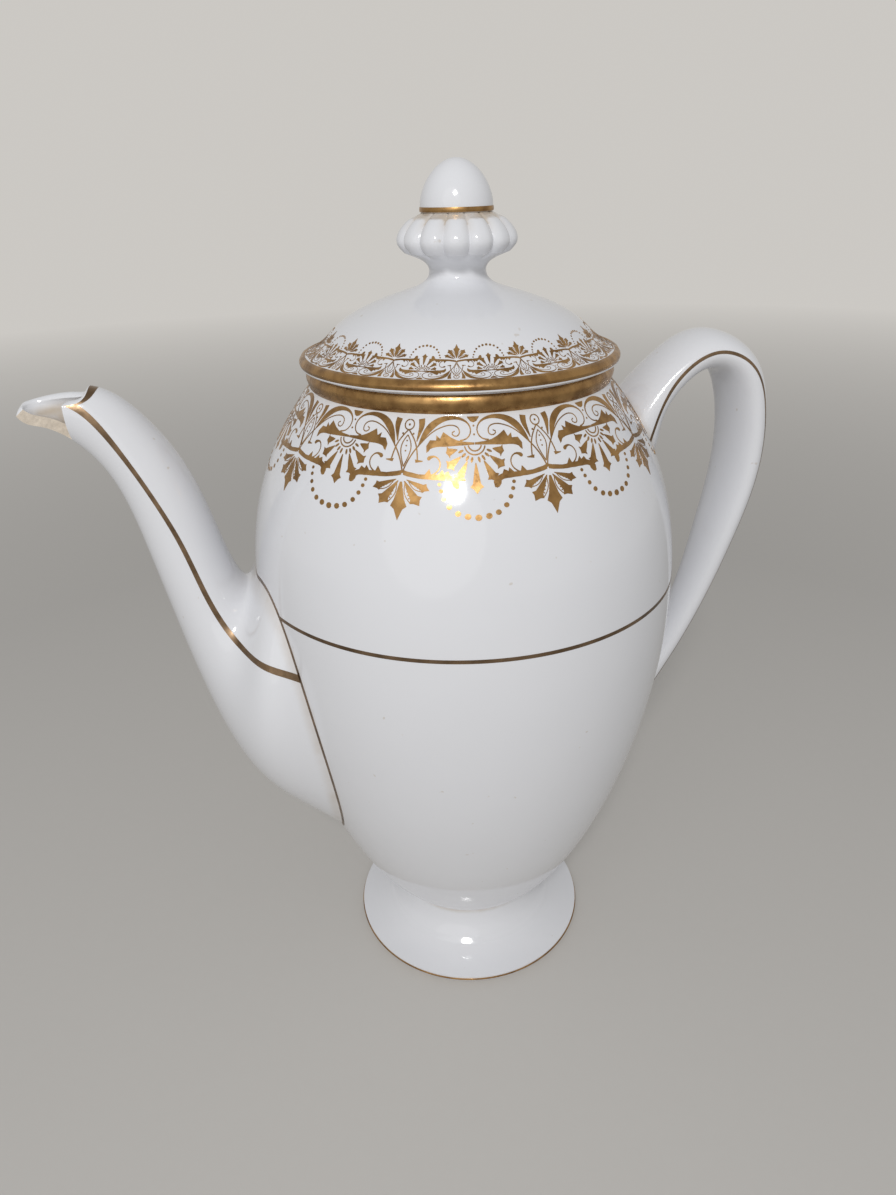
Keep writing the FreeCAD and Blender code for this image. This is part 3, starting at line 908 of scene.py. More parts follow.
class POT_OT_foot(bpy.types.Operator):
    """Foot: a turned flare with a rounded edge and a hollow underneath"""

    bl_idname = "coffee_pot.foot"
    bl_label = "Add foot"

    def execute(self, context):
        flare = bezier((BASE_RADIUS, FOOT_TOP), (BASE_RADIUS, FOOT_TOP - FLARE_PULL_DOWN),
                       (FOOT_RADIUS - FLARE_PULL_IN, FLARE_PULL_LEVEL), (FOOT_RADIUS, FOOT_EDGE_TOP), 60)
        edge = bezier((FOOT_RADIUS, SOLE_START), (FOOT_RADIUS, SOLE_PULL), (FOOT_RADIUS - SOLE_PULL, TABLE),
                      (FOOT_RADIUS - SOLE_START, TABLE), 7)
        sole = FOOT_RADIUS - SOLE_WIDTH
        pull_in, pull_level = HOLLOW_PULL_LOW
        hollow = bezier((sole, TABLE), (sole - pull_in, pull_level), HOLLOW_PULL_HIGH,
                        (HOLLOW_RADIUS, HOLLOW_TOP), 24)
        outline = chain([(0, FOOT_TOP)], flare, edge, hollow, [(0, HOLLOW_TOP)])
        points, faces = sheet(turned(outline, TURNED_STEPS))
        level = points[:, 2]
        stain_and_shade = np.maximum(stain_and_shade_at("foot top", FOOT_TOP - level), stain_and_shade_at("sole", level - TABLE))
        add_piece("china_foot", (points, faces), "pot", [glaze_material()],
                  ["foot"], stain_and_shade=stain_and_shade)
        return {"FINISHED"}


class POT_OT_spout(bpy.types.Operator):
    """Spout: an oval tube and its bore, trimmed at the vessel, at the slanted mouth and at the broken lip"""

    bl_idname = "coffee_pot.spout"
    bl_label = "Add spout"

    def execute(self, context):
        china = settings("pot_china")
        skins = [self.skin(lift, china.root_depth / MM) for lift in (0.0, -china.spout_wall / MM)]
        outer, inner = skins
        glazed = [outer["body"], inner["body"], outer["lip"], inner["lip"]]
        glazed.append(np.stack([outer["body"][:, 0], inner["body"][:, 0]]))
        glazed.append(self.rim(outer["mouth"], inner["mouth"]))
        broken = [self.rough(outer[part], inner[part], along) for part, along in
                  (("break_face", (1.0, 0, 0)), ("lip_edge", (0, 1.0, 0)))]
        shapes = [sheet(grid) for grid in glazed + broken]
        counts = [len(faces) for _, faces in shapes]
        marks = np.repeat([0] * len(glazed) + [1] * len(broken), counts)
        points, faces = joined(shapes)
        stain_and_shade = stain_and_shade_at("spout", over_side(0.0)(points))
        bore = np.repeat([0, 1, 0, 1, 0, 0, 0, 0], [len(part) for part, _ in shapes])
        reach = -BELLY_RADIUS - points[:, 0]
        in_mouth = blend(*MOUTH_STAIN_DEPTH, -over_mouth(points)) * blend(*MOUTH_STAIN_REACH, reach)
        stain_and_shade = np.maximum(stain_and_shade, MOUTH_STAIN * bore * in_mouth)
        add_piece("china_spout", (points, faces), "pot", [glaze_material(), clay_material()],
                  ["spout"], marks=marks, stain_and_shade=stain_and_shade)
        return {"FINISHED"}

    def skin(self, lift, depth):
        """Outer or inner skin, with the edges that it shares with the other.

        The lines of the tube run from the vessel to the mouth or the break, whichever comes first;
        on the far half the lip goes on from the break to the mouth."""
        corner = self.corner(lift)
        marks = [0, corner, self.keel(lift), 2 * np.pi - corner, 2 * np.pi]
        runs = [np.linspace(start, stop, count, endpoint=False)
                for start, stop, count in zip(marks, marks[1:], SPOUT_LINES)]
        turn = np.append(np.concatenate(runs), 2 * np.pi)
        root = crossing(SPOUT, turn, lift, over_side(depth), *SPOUT_ROOT_SPAN)
        end = np.minimum(crossing(SPOUT, turn, lift, over_mouth, *SPOUT_MOUTH_SPAN),
                         crossing(SPOUT, turn, lift, over_break, *SPOUT_MOUTH_SPAN))
        share = np.linspace(0, 1, SPOUT_STEPS) ** CROTCH_CROWDING
        body = SPOUT(turn[:, None] + 0 * share, root[:, None] + (end - root)[:, None] * share, lift)
        self.soften(body, turn)
        edges = np.append(0, np.cumsum(SPOUT_LINES))
        mouth_far, on_lip, on_break, mouth_near = [slice(first, last + 1) for first, last in
                                                   zip(edges, edges[1:])]
        lip = self.lip(lift, turn[on_lip], end[on_lip])
        mouth = np.concatenate([body[mouth_near, -1], body[mouth_far, -1][1:], lip[1:, -1]])
        return {"body": body, "lip": lip, "mouth": mouth, "break_face": body[on_break, -1],
                "lip_edge": lip[-1]}

    def soften(self, body, turn):
        """Rounds the crotch above the root: each point there steps half way to the middle of its neighbours
        along the tube, over and over, by a share that dies out down the sides."""
        from_top = np.degrees(np.minimum(turn, 2 * np.pi - turn))
        weight = 0.5 * (1 - blend(*CROTCH_SPREAD, from_top))[:, None, None] * CROTCH_FADE[1:-1, None]
        for _ in range(CROTCH_ROUNDS):
            middle = (body[:, :-2] + body[:, 2:]) / 2
            body[:, 1:-1] += weight * (middle - body[:, 1:-1])

    def rim(self, outer, inner):
        """Rounded rim: across by the cosine of half a turn, up by its sine, lower at the back of the mouth
        and dying out at the two broken ends."""
        step = np.linspace(0, 1, len(outer))
        height = RIM_ROUND * np.sqrt(np.clip(1 - np.abs(2 * step - 1) ** 14, 0, 1))
        height *= RIM_LEAST + (1 - RIM_LEAST) * blend(*RIM_GROWTH, -BELLY_RADIUS - outer[:, 0])
        rise = height[:, None] * np.sin(RIM_TURN)
        across = outer[:, None] + (inner - outer)[:, None] * RIM_SHARE[:, None]
        return across + rise[..., None] * np.array([0, 0, 1.0])

    def corner(self, lift):
        """Turn at which the mouth's edge and the break's plane cut the tube in the same place."""
        turn = np.linspace(0.05, np.pi - 0.05, 400)
        mouth = crossing(SPOUT, turn, lift, over_mouth, *SPOUT_MOUTH_SPAN)
        broken = crossing(SPOUT, turn, lift, over_break, *SPOUT_MOUTH_SPAN)
        return float(np.interp(0, mouth - broken, turn))

    def keel(self, lift):
        """Turn just past the underside where the break runs along the lip."""
        broken = crossing(SPOUT, np.array([np.pi]), lift, over_break, *SPOUT_MOUTH_SPAN)
        width = curve_through(spout_sections(), broken)[0, 4] + lift
        return float(np.pi + np.arcsin(BREAK_OFFSET / width))

    def lip(self, lift, turn, start):
        """Lip on the far half, from the break to the mouth; its first line is one point, where the two meet,
        and its last line keeps to the break's own plane."""
        share = np.linspace(0, 1, LIP_STEPS)
        stop = crossing(SPOUT, turn[-1:], lift, over_mouth, *SPOUT_MOUTH_SPAN)[0]
        along = start[-1] + (stop - start[-1]) * share
        width = curve_through(spout_sections(), along)[:, 4] + lift
        keel = np.pi + np.arcsin(BREAK_OFFSET / width)
        keel[0] = turn[-1]
        across = (turn - turn[0]) / (turn[-1] - turn[0])
        turns = turn[0] + across[:, None] * (keel - turn[0])
        end = crossing(SPOUT, turns[:, -1], lift, over_mouth, *SPOUT_MOUTH_SPAN)
        grid = SPOUT(turns, start[:, None] + (end - start)[:, None] * share, lift)
        grid[0] = grid[0, 0]
        return grid

    def rough(self, outer, inner, normal):
        """Broken face between two edges, with small waves in its middle."""
        grid = outer[:, None] + (inner - outer)[:, None] * RIM_SHARE[:, None]
        step = np.arange(len(outer))[:, None]
        wave = np.sin(1.7 * step + 5 * RIM_SHARE) + 0.7 * np.sin(0.6 * step - 9 * RIM_SHARE)
        wave = BREAK_ROUGHNESS * wave * np.sin(np.pi * RIM_SHARE)
        wave[[0, -1]] = 0
        return grid + wave[..., None] * np.array(normal)


class POT_OT_handle(bpy.types.Operator):
    """Handle: an oval tube along a bow, run into the vessel's side at both ends"""

    bl_idname = "coffee_pot.handle"
    bl_label = "Add handle"

    def execute(self, context):
        depth = settings("pot_china").root_depth / MM
        turn = np.linspace(0, 2 * np.pi, 65)
        outside = over_side(depth)
        start = crossing(HANDLE, turn, 0.0, outside, *HANDLE_UPPER_SPAN)
        end = crossing(HANDLE, turn, 0.0, lambda points: -outside(points), *HANDLE_LOWER_SPAN)
        share = np.linspace(0, 1, 170)
        body = HANDLE(turn[:, None] + 0 * share, start[:, None] + (end - start)[:, None] * share, 0.0)
        caps = [np.stack([body[:, row], np.repeat(body[:-1, row].mean(0)[None], len(turn), 0)])
                for row in (0, -1)]
        points, faces = joined([sheet(grid) for grid in [body] + caps])
        stain_and_shade = stain_and_shade_at("handle", over_side(0.0)(points))
        add_piece("china_handle", (points, faces), "pot", [glaze_material()],
                  ["handle"], stain_and_shade=stain_and_shade)
        return {"FINISHED"}


class POT_OT_lid(bpy.types.Operator):
    """Lid: a turned dome with a bare edge, a hollow and a flange that drops into the collar"""

    bl_idname = "coffee_pot.lid"
    bl_label = "Add lid"

    def execute(self, context):
        edge_level = RIM + LID_HOLLOW_RISE
        crown = LID_TOP - LID_THICKNESS
        shell = bezier((FLANGE_INSIDE, edge_level), (FLANGE_INSIDE, (edge_level + crown) / 2),
                       (FLANGE_INSIDE / 2, crown), (0, crown), 40)
        chamfer_level = FLANGE_LOW + FLANGE_CHAMFER
        flange = chain([(FLANGE_INSIDE, edge_level), (FLANGE_INSIDE, chamfer_level),
                        (FLANGE_INSIDE + FLANGE_CHAMFER, FLANGE_LOW),
                        (FLANGE_OUTSIDE - FLANGE_CHAMFER, FLANGE_LOW),
                        (FLANGE_OUTSIDE, chamfer_level), (FLANGE_OUTSIDE, RIM)])
        edge = bezier((LID_RADIUS - LID_EDGE_IN, RIM), (LID_RADIUS - LID_EDGE_IN_PULL, RIM),
                      (LID_RADIUS, RIM + LID_EDGE_UP_PULL), (LID_RADIUS, RIM + LID_EDGE_UP), 6)
        under_finial = DOME[-1] + polar(DOME_TOP_SLOPE + 180, UNDER_FINIAL)
        outline = chain(shell[::-1], flange, edge, [(LID_RADIUS, LID_BAND_LOW)], DOME,
                        [under_finial, (0, under_finial[1])])
        points, faces = sheet(turned(outline, TURNED_STEPS))
        stain_and_shade = stain_and_shade_at("lid edge", np.abs(points[:, 2] - RIM))
        add_piece("china_lid", (points, faces), "cover", [glaze_material()],
                  ["lid"], stain_and_shade=stain_and_shade)
        return {"FINISHED"}


class POT_OT_finial(bpy.types.Operator):
    """Finial: a turned stem, a skirt of rounded lobes with arched tops, and an acorn"""

    bl_idname = "coffee_pot.finial"
    bl_label = "Add finial"

    def execute(self, context):
        china = settings("pot_china")
        foot = np.array([FINIAL_FOOT_RADIUS, LID_TOP])
        stem = np.array(STEM)
        underside = np.array(SKIRT_UNDERSIDE)
        base = bezier(foot, foot + polar(DOME_TOP_SLOPE + 180, FINIAL_FOOT_PULL), stem - (0, STEM_PULL_DOWN),
                      stem, 24)
        under = bezier(stem, stem + (0, STEM_PULL_UP), underside - polar(UNDERSIDE_SLOPE, UNDERSIDE_PULL),
                       underside, 30)
        skirt = curve_through(np.array([SKIRT_UNDERSIDE, (SKIRT_RADIUS, SKIRT_GIRTH), SKIRT_SHOULDER,
                                        (ACORN_RADIUS, SKIRT_TOP)]), np.linspace(0, 1, 80))
        tip = np.array([0, FINIAL_TIP])
        acorn = bezier((ACORN_RADIUS, ACORN_FOOT), (ACORN_RADIUS, ACORN_FOOT + ACORN_PULL),
                       tip + (ACORN_TIP_PULL, 0), tip, 40)
        outline = chain([(0, LID_TOP)], base, under, skirt, acorn)
        grid = turned(outline, china.lobe_count * LOBE_STEPS)
        turn = np.linspace(0, 2 * np.pi, grid.shape[1])
        dip, gap = self.lobes(outline, turn, china)
        radius = np.hypot(grid[..., 0], grid[..., 1])
        grid[..., :2] *= (1 - dip / np.maximum(radius, 1e-6))[..., None]
        points, faces = sheet(grid)
        level = points[:, 2]
        # Brown under the gilt line and at the grooves' tops: partly residue, partly painted shade in these
        # hollows
        residue_and_shade_at_line = stain_and_shade_at("finial line", SKIRT_TOP - level) * (level < SKIRT_TOP + 0.3)
        stain_and_shade = np.maximum(gap.ravel(), residue_and_shade_at_line)
        add_piece("china_finial", (points, faces), "cover", [glaze_material()], ["finial"],
                  stain_and_shade=stain_and_shade, sharp=60.0)
        return {"FINISHED"}

    def lobes(self, outline, turn, china):
        """How far each point of the skirt is set in: a groove between lobes that fades out underneath, and a
        ledge above their arched tops. The second grid marks the ledge and the grooves' upper ends, for brown
        that is partly residue and partly painted shade."""
        depth = china.lobe_depth / MM
        crest = np.abs(np.cos(china.lobe_count / 2 * turn))[None]
        radius, level = outline[:, 0, None], outline[:, 1, None]
        on_skirt = (level > STEM[1]) & (level < SKIRT_TOP + 0.01) & (radius > ACORN_RADIUS - 2)
        fade = blend(*GROOVE_START, radius) * (level < SKIRT_GIRTH) + (level >= SKIRT_GIRTH)
        rise = (level - SKIRT_GIRTH) / (SKIRT_TOP - SKIRT_GIRTH)
        arch = LOBE_SPRINGING + LOBE_ARCH * np.sqrt(np.clip(1 - (1 - crest) ** 2, 0, 1))
        end = 1 - blend(*GROOVE_END, rise)
        ledge = blend(-0.05, 0.05, rise - arch) * end
        groove = (1 - crest) ** GROOVE_SHARPNESS * fade * end
        dip = np.maximum(depth * groove, LEDGE_SHARE * depth * ledge) * on_skirt
        # Second grid: brown for the ledge and groove tops, partly residue and partly painted shade
        return dip, np.maximum(ledge, 0.5 * groove * blend(0.2, 0.8, rise)) * on_skirt


class POT_OT_bands(bpy.types.Operator):
    """Gilt bands turned round the pot: neck, lid edge, foot edge and finial, and the line at the waist"""

    bl_idname = "coffee_pot.bands"
    bl_label = "Add gilt bands"

    def execute(self, context):
        gilt = [gilt_material()]
        film_depth = settings("pot_gilding").film / MM
        below = SIDE[SHOULDER_WAYS[::-1] < NECK_BAND_RUN] + film_depth * RUN_FILMS
        self.band("gilt_neck_band", "pot", "neck_band", (NECK_BAND_RADIUS, NECK + NECK_BAND_STEP),
                  (NECK_BAND_RADIUS, NECK_BAND_TOP), BAND_CROWN, gilt, below=below)
        above = DOME[DOME_WAYS < LID_BAND_RUN] + film_depth * RUN_FILMS
        self.band("gilt_lid_band", "cover", "lid_band", (LID_BAND_RADIUS, LID_BAND_LOW),
                  (LID_BAND_RADIUS - LID_BAND_LEAN, LID_BAND_TOP), BAND_CROWN, gilt, above=above)
        self.band("gilt_foot_line", "pot", "foot_line", (FOOT_LINE_RADIUS, FOOT_LINE_LOW + FOOT_LINE_STEP),
                  (FOOT_LINE_RADIUS, FOOT_LINE_TOP), BAND_CROWN, gilt)
        self.band("gilt_finial_line", "cover", "finial_line", (ACORN_RADIUS + FINIAL_LINE_STEP, SKIRT_TOP),
                  (ACORN_RADIUS + FINIAL_LINE_STEP, ACORN_FOOT), LINE_CROWN, gilt)
        self.waist(film_depth)
        return {"FINISHED"}

    def waist(self, film_depth):
        """Line on the vessel's side at one level, round from one edge of the spout's root to the other."""
        level = (WAIST_LOW + WAIST_TOP) / 2
        root = spout_root()
        above = root[:, 2] > level - 1
        half = np.abs(np.arctan2(root[above, 1], -root[above, 0])).max()
        turn = np.linspace(-np.pi + half, np.pi - half, TURNED_STEPS)
        way = np.interp(-level, -SIDE[::-1, 1], SHOULDER_WAYS)
        shape = ribbon(SHOULDER, turn, np.full_like(turn, way), (WAIST_TOP - WAIST_LOW) / 2, film_depth)
        add_piece("gilt_waist_line", shape, "pot", [line_material()], ["waist_line"])

    def band(self, name, body, node, low, top, crown, gilt, below=(), above=()):
        """Band of a slightly crowned section carried round the axis: a straight face swelled by the sine of
        half a turn. A run of the china's own outline may go on below or above it as a thin film."""
        low, top = np.array(low), np.array(top)
        share = np.linspace(0, 1, 9)[:, None]
        swell = crown * np.linalg.norm(top - low) * (np.sin(np.pi * share) - 0.5)
        face = low + (top - low) * share + swell * np.array([1.0, 0])
        depth = np.array([BAND_DEPTH, 0])
        proud = swell[:, 0] >= 0
        if len(below):
            face = face[proud.argmax():]
        if len(above):
            face = face[:len(face) - proud[::-1].argmax()]
        front = chain(*[run for run in (below, face, above) if len(run)])
        back = [top - depth, low - depth]
        if len(above):
            back = [above[-1] - RUN_DEPTH, *back]
        if len(below):
            back = [*back, below[0] - RUN_DEPTH]
        outline = chain(front, back, front[:1])
        add_piece(name, sheet(turned(outline, TURNED_STEPS)), body, gilt, [node])


class POT_OT_lines(bpy.types.Operator):
    """Gilt lines drawn on the spout and the handle and round their roots"""

    bl_idname = "coffee_pot.lines"
    bl_label = "Add gilt lines"

    def execute(self, context):
        gilding = settings("pot_gilding")
        lift = gilding.film / MM
        gilt = [line_material()]
        lines = [self.side_line(SPOUT, SPOUT_LINE, side, gilding.spout_line / MM / 2, lift, over_mouth)
                 for side in (-1, 1)]
        add_piece("gilt_spout_lines", joined(lines), "pot", gilt)
        root = self.root(spout_root(), gilding.root_line / MM / 2, lift, 1)
        add_piece("gilt_spout_root", root, "pot", gilt)
        add_piece("gilt_spout_mouth", self.mouth(gilding.mouth_line / MM, lift), "pot", gilt)
        lines = [self.side_line(HANDLE, HANDLE_LINE, side, gilding.handle_line / MM / 2, lift)
                 for side in (-1, 1)]
        add_piece("gilt_handle_lines", joined(lines), "pot", gilt)
        roots = [self.root(root, gilding.handle_root_line / MM / 2, lift, side)
                 for root, side in zip(self.handle_roots(), (-1, 1))]
        add_piece("gilt_handle_roots", joined(roots), "pot", gilt)
        return {"FINISHED"}

    def side_line(self, face, line, side, half_width, lift, stop=None):
        """Line along one side of a tube: its turn and width follow a smooth curve by the way along it."""
        rows = np.array(line) * (1, math.radians(1), 1)
        along, turn, share = curve_through(rows, np.linspace(0, 1, 200)).T
        return ribbon(face, side * turn, along / 100, half_width * share, lift, stop=stop)

    def mouth(self, width, lift):
        """Band below the mouth: from its edge down the outer skin by its width, round to the break."""
        turn = np.linspace(-1.6, np.pi, 120)
        end = crossing(SPOUT, turn, 0.0, over_mouth, *SPOUT_MOUTH_SPAN)
        broken = crossing(SPOUT, turn, 0.0, over_break, *SPOUT_MOUTH_SPAN)
        keep = (turn >= 0) | (end <= broken)
        turn, end = turn[keep], end[keep]
        nudge = 1e-3
        rate = np.linalg.norm(SPOUT(turn, end, 0.0) - SPOUT(turn, end - nudge, 0.0), axis=1) / nudge
        width = width * (0.2 + 0.8 * np.cos(np.clip(turn, -1.3, 1.3)) ** 2)
        ways = end[:, None] - (width / rate)[:, None] * np.linspace(0.05, 1, 4)
        turns = turn[:, None] + 0 * ways
        return film(SPOUT(turns, ways, lift), SPOUT(turns, ways, -lift))

    def root(self, points, half_width, lift, side):
        """Line on the vessel's side just outside a root: a ribbon along the azimuth of the root's points and
        their way down the side."""
        turn = np.unwrap(np.arctan2(points[:, 1], points[:, 0]))
        way = np.interp(-points[:, 2], -SIDE[::-1, 1], SHOULDER_WAYS)
        return ribbon(SHOULDER, turn, way, half_width, lift, shift=0.8 * side)

    def handle_roots(self):
        """Points where the handle meets the vessel's side, above and below."""
        turn = np.linspace(0.02, 2 * np.pi - 0.02, 121)
        outside = over_side(0.0)
        upper = crossing(HANDLE, turn, 0.0, outside, *HANDLE_UPPER_SPAN)
        lower = crossing(HANDLE, turn, 0.0, lambda points: -outside(points), *HANDLE_LOWER_SPAN)
        return [HANDLE(turn, upper, 0.0), HANDLE(turn, lower, 0.0)]


def stroke(path, half_widths, count):
    """Flat brush stroke: a smooth path with its half width to each side, square to it."""
    rows = np.column_stack([path, np.broadcast_to(half_widths, len(path))])
    curve = curve_through(rows.astype(float), np.linspace(0, 1, count))
    ahead = np.gradient(curve[:, :2], axis=0)
    ahead /= np.linalg.norm(ahead, axis=1, keepdims=True)
    aside = np.stack([-ahead[:, 1], ahead[:, 0]], -1) * np.maximum(curve[:, 2:], STROKE_LEAST)
    return curve[:, None, :2] + aside[:, None] * np.linspace(-1, 1, 3)[:, None]


def leaf(upper, lower):
    """Flat leaf between two edges that run point for point from its root to its tip."""
    upper, lower = np.array(upper, float), np.array(lower, float)
    return upper[:, None] + (lower - upper)[:, None] * np.linspace(0, 1, 3)[:, None]


def barb(start, end, swell):
    """Flat barbed lobe on a straight axis: narrow at its root, widest at a barb, pointed at its tip."""
    start, end = np.array(start, float), np.array(end, float)
    share = np.array([0, 0.35, 0.68, 0.78, 0.84, 1])[:, None]
    half = swell * np.array([0.1, 0.5, 0.8, 1.35, 0.7, 0.0])[:, None]
    ahead = (end - start) / np.linalg.norm(end - start)
    aside = np.array([-ahead[1], ahead[0]])
    axis = start + (end - start) * share
    return axis[:, None] + (half * aside)[:, None] * np.linspace(-1, 1, 3)[:, None]


def dot(across, down, radius):
    """Flat round dot: a square grid drawn in to a circle."""
    line = np.linspace(-1, 1, 4)
    u, v = np.meshgrid(line, line, indexing="ij")
    disc = np.stack([u * np.sqrt(1 - v**2 / 2), v * np.sqrt(1 - u**2 / 2)], -1)
    return np.array([across, down]) + radius * disc


def pod(start, end, width):
    """Flat pointed oval outline on an axis, with a row of dots inside it."""
    start, end = np.array(start, float), np.array(end, float)
    ahead = end - start
    aside = np.array([-ahead[1], ahead[0]]) / np.linalg.norm(ahead) * width / 2
    sides = [stroke([start, start + 0.5 * ahead + side * aside, end], 0.1, 8) for side in (-1, 1)]
    dots = [dot(*(start + ahead * share), 0.17) for share in (0.25, 0.45, 0.62, 0.78)]
    return sides + dots


def lace_side():
    """Strokes of one half of the lace motif: across runs from the pendant to the shell, down from the edge.

    Each stroke's place in the list sets its lift, so the order stays."""
    border_top = [
        (0.2, 13.2), (1.2, 13.5), (2.4, 13.7), (3.8, 14), (5.2, 14), (6.2, 12.7), (6.6, 13.9), (8.2, 14),
        (9.2, 12.9), (9.5, 13.7), (10.5, 13.2), (10.9, 14.1), (12.3, 14.7), (13.1, 15.9), (12.9, 17.1)]
    border_foot = [
        (0.2, 14.3), (1.2, 14.6), (2.4, 14.8), (3.8, 15), (5.2, 15.1), (6.2, 15.1), (7, 15.2), (8.2, 15.2),
        (9.2, 15.3), (9.9, 15.3), (10.7, 15.4), (11.3, 15.7), (11.4, 16.4), (11.9, 17.1), (12.4, 17.3)]
    wing_top = [
        (16.7, 6.6), (14.5, 6.4), (12.5, 6), (11, 5.3), (9, 4), (8.3, 5.6), (7.3, 4.8), (7.6, 6),
        (5.8, 6), (5, 7.4), (5.2, 9)]
    wing_foot = [
        (16.7, 7.1), (14.5, 7.2), (12.5, 7.3), (11, 7.4), (9.6, 7.5), (8.4, 7.5), (7.4, 7.6), (6.6, 7.8),
        (6, 8.1), (5.7, 8.6), (5.2, 9)]
    scroll = [
        (3, 7.6), (4, 5.3), (5.6, 2.9), (8, 1.2), (11, 0.55), (13.8, 1), (15.6, 2.4), (15.9, 4.1),
        (14.9, 5.6), (13.2, 6.1)]
    scroll_halves = [0.12, 0.55, 0.9, 0.75, 0.5, 0.3, 0.18, 0.15, 0.15, 0.2]
    tendril = [
        (2.5, 8.1), (4.6, 5.6), (6.8, 3.7), (9, 2.7), (11.4, 2.4), (12.9, 3.2), (12.9, 4.7), (11.9, 5),
        (11.2, 4.3), (11.9, 3.8)]
    curl = [(5.9, 10.2), (7.2, 9.8), (8.5, 11), (8.2, 13), (6.8, 14.2)]
    grids = [
        barb((0.7, 15.7), (4.5, 21.2), 1.15),
        barb((1.2, 15.4), (6.5, 17.7), 0.85),
        leaf(border_top, border_foot),
        stroke([(0, 3.6), (1.1, 4.9), (2.3, 6.9), (2.9, 8.9), (3.2, 10.8)], 0.16, 14),
        stroke([(3.2, 7.2), (2.2, 8.6), (1.2, 10.4), (0.4, 12.4), (0, 13.9)], 0.16, 14),
        stroke([(0, 4.9), (0.8, 6.2), (1.25, 7.8), (1, 9.6), (0.3, 11.6), (0, 12.4)], 0.13, 14),
        leaf([(2.6, 10.6), (4.6, 10.9)], [(2.8, 11.4), (4.4, 11.1)]),
        stroke([(3.1, 0.9), (3.3, 2.4), (3, 4.2), (2.5, 6.4)], [0.85, 0.75, 0.45, 0.12], 10),
        stroke(scroll, scroll_halves, 28),
        stroke(tendril, 0.14, 30),
        leaf(wing_top, wing_foot),
        stroke(curl, [0.45, 0.2, 0.14, 0.14, 0.2], 14),
        dot(5.9, 10.3, 0.45),
        dot(1.4, 4.6, 0.25),
    ]
    grids += pod((0.95, 16.0), (2.5, 20.7), 1.4) + pod((1.7, 15.7), (5.2, 18.0), 1.4)
    grids += [dot(8.6, 16.2, 0.42), dot(9, 17.7, 0.46), dot(9.7, 19.5, 0.52), dot(10.8, 21.3, 0.58),
              dot(12.6, 22.8, 0.63), dot(14.6, 23.5, 0.68)]
    grids += [shell_lobe(angle, length) for angle, length in ((26, 9.8), (50, 8.6), (74, 7.2))]
    grids += [shell_drop(angle) for angle in (13, 30, 47, 64)]
    return grids


def from_shell(angle, length):
    """Point of the lace a length out from the shell's middle, at an angle from straight down."""
    angle = math.radians(angle)
    return SHELL_MIDDLE + length * np.array([-math.sin(angle), math.cos(angle)])


def shell_lobe(angle, length):
    """Barbed lobe of the shell, out from its middle at an angle from straight down."""
    return barb(from_shell(angle, 4.4), from_shell(angle, length), 1.1)


def shell_drop(angle):
    """Small drop between the shell's arcs and its lobes, at an angle from straight down."""
    return stroke([from_shell(angle, length) for length in (3.1, 3.7, 4.4)], [0.15, 0.3, 0.12], 5)


def lace_middle():
    """Strokes on the two axes of the lace motif: the pendant's middle lobe, the knot's ring, the shell."""
    half_edge = np.array([(0.25, 15.9), (0.7, 18), (1.15, 20.0), (1.8, 21.5), (0.95, 22.2), (0, 24.7)])
    turn = np.linspace(math.radians(4), math.radians(356), 17)
    ring = np.stack([1.25 * np.sin(turn), 2.4 - 1.25 * np.cos(turn)], -1)
    shell_turn = np.linspace(math.radians(-80), math.radians(80), 9)
    arc = np.stack([np.sin(shell_turn), np.cos(shell_turn)], -1)
    bud = LACE_HALF + np.array([-1.6, -0.8, 0, 0.8, 1.6])
    grids = [
        leaf(half_edge * (-1, 1), half_edge),
        stroke(ring, 0.15, 33),
        stroke(SHELL_MIDDLE + 1.6 * arc, 0.16, 13),
        stroke(SHELL_MIDDLE + 2.5 * arc, 0.16, 15),
        shell_lobe(0, 11.5),
        dot(0, 2.4, 0.28),
        dot(LACE_HALF, 23.8, 0.72),
        dot(LACE_HALF, 2.6, 0.24),
        dot(LACE_HALF, 4.7, 0.24),
        leaf(np.column_stack([bud, np.full(5, 0.35)]), np.column_stack([bud, (0.5, 1.5, 1.8, 1.5, 0.5)])),
    ]
    return grids + [dot(0, down, 0.2) for down in (6.3, 7.5, 8.7)]


def lace_shape(face, girth, scale, repeats, start, lift, edge):
    """Lace laid on a turned surface: across as a turn at the girth, down as the way along the profile, drawn
    together so that it starts at the edge of the band and ends at its own depth.

    Each stroke has its own small lift, so that no two that cross lie in the same place."""
    side = lace_side()
    grids = side + [grid * (-1, 1) for grid in side] + lace_middle()
    films = []
    for order, grid in enumerate(grids):
        height = np.full(grid.shape[:2] + (1,), lift * (1 + STROKE_STEP * order))
        films.append(film(np.dstack([grid * scale, height]), np.dstack([grid * scale, -height])))
    flat, faces = joined(films)
    turn = start + np.arange(repeats)[:, None] * 2 * np.pi / repeats + flat[:, 0] / girth
    ways = np.broadcast_to(edge + (1 - edge / (LACE_DEPTH * scale)) * flat[:, 1], turn.shape)
    points = face(turn, ways, np.broadcast_to(flat[:, 2], turn.shape))
    numbers = faces[None] + (np.arange(repeats) * len(flat))[:, None, None]
    return points.reshape(-1, 3), numbers.reshape(-1, 4)


class POT_OT_lace(bpy.types.Operator):
    """Gilt lace below the neck and above the edge of the lid"""

    bl_idname = "coffee_pot.lace"
    bl_label = "Add gilt lace"

    def execute(self, context):
        gilding = settings("pot_gilding")
        lift = gilding.film / MM
        neck = lace_shape(SHOULDER, NECK_LACE_GIRTH, 1.0, gilding.neck_repeats, gilding.neck_turn, lift,
                          NECK_BAND_RUN - 0.3)
        add_piece("gilt_neck_lace", neck, "pot", [gilt_material()])
        scale = math.pi / gilding.lid_repeats * LID_LACE_GIRTH / LACE_HALF
        lid = lace_shape(DOME_FACE, LID_LACE_GIRTH, scale, gilding.lid_repeats, gilding.lid_turn, lift,
                         LID_BAND_RUN - 0.2)
        add_piece("gilt_lid_lace", lid, "cover", [gilt_material()])
        return {"FINISHED"}


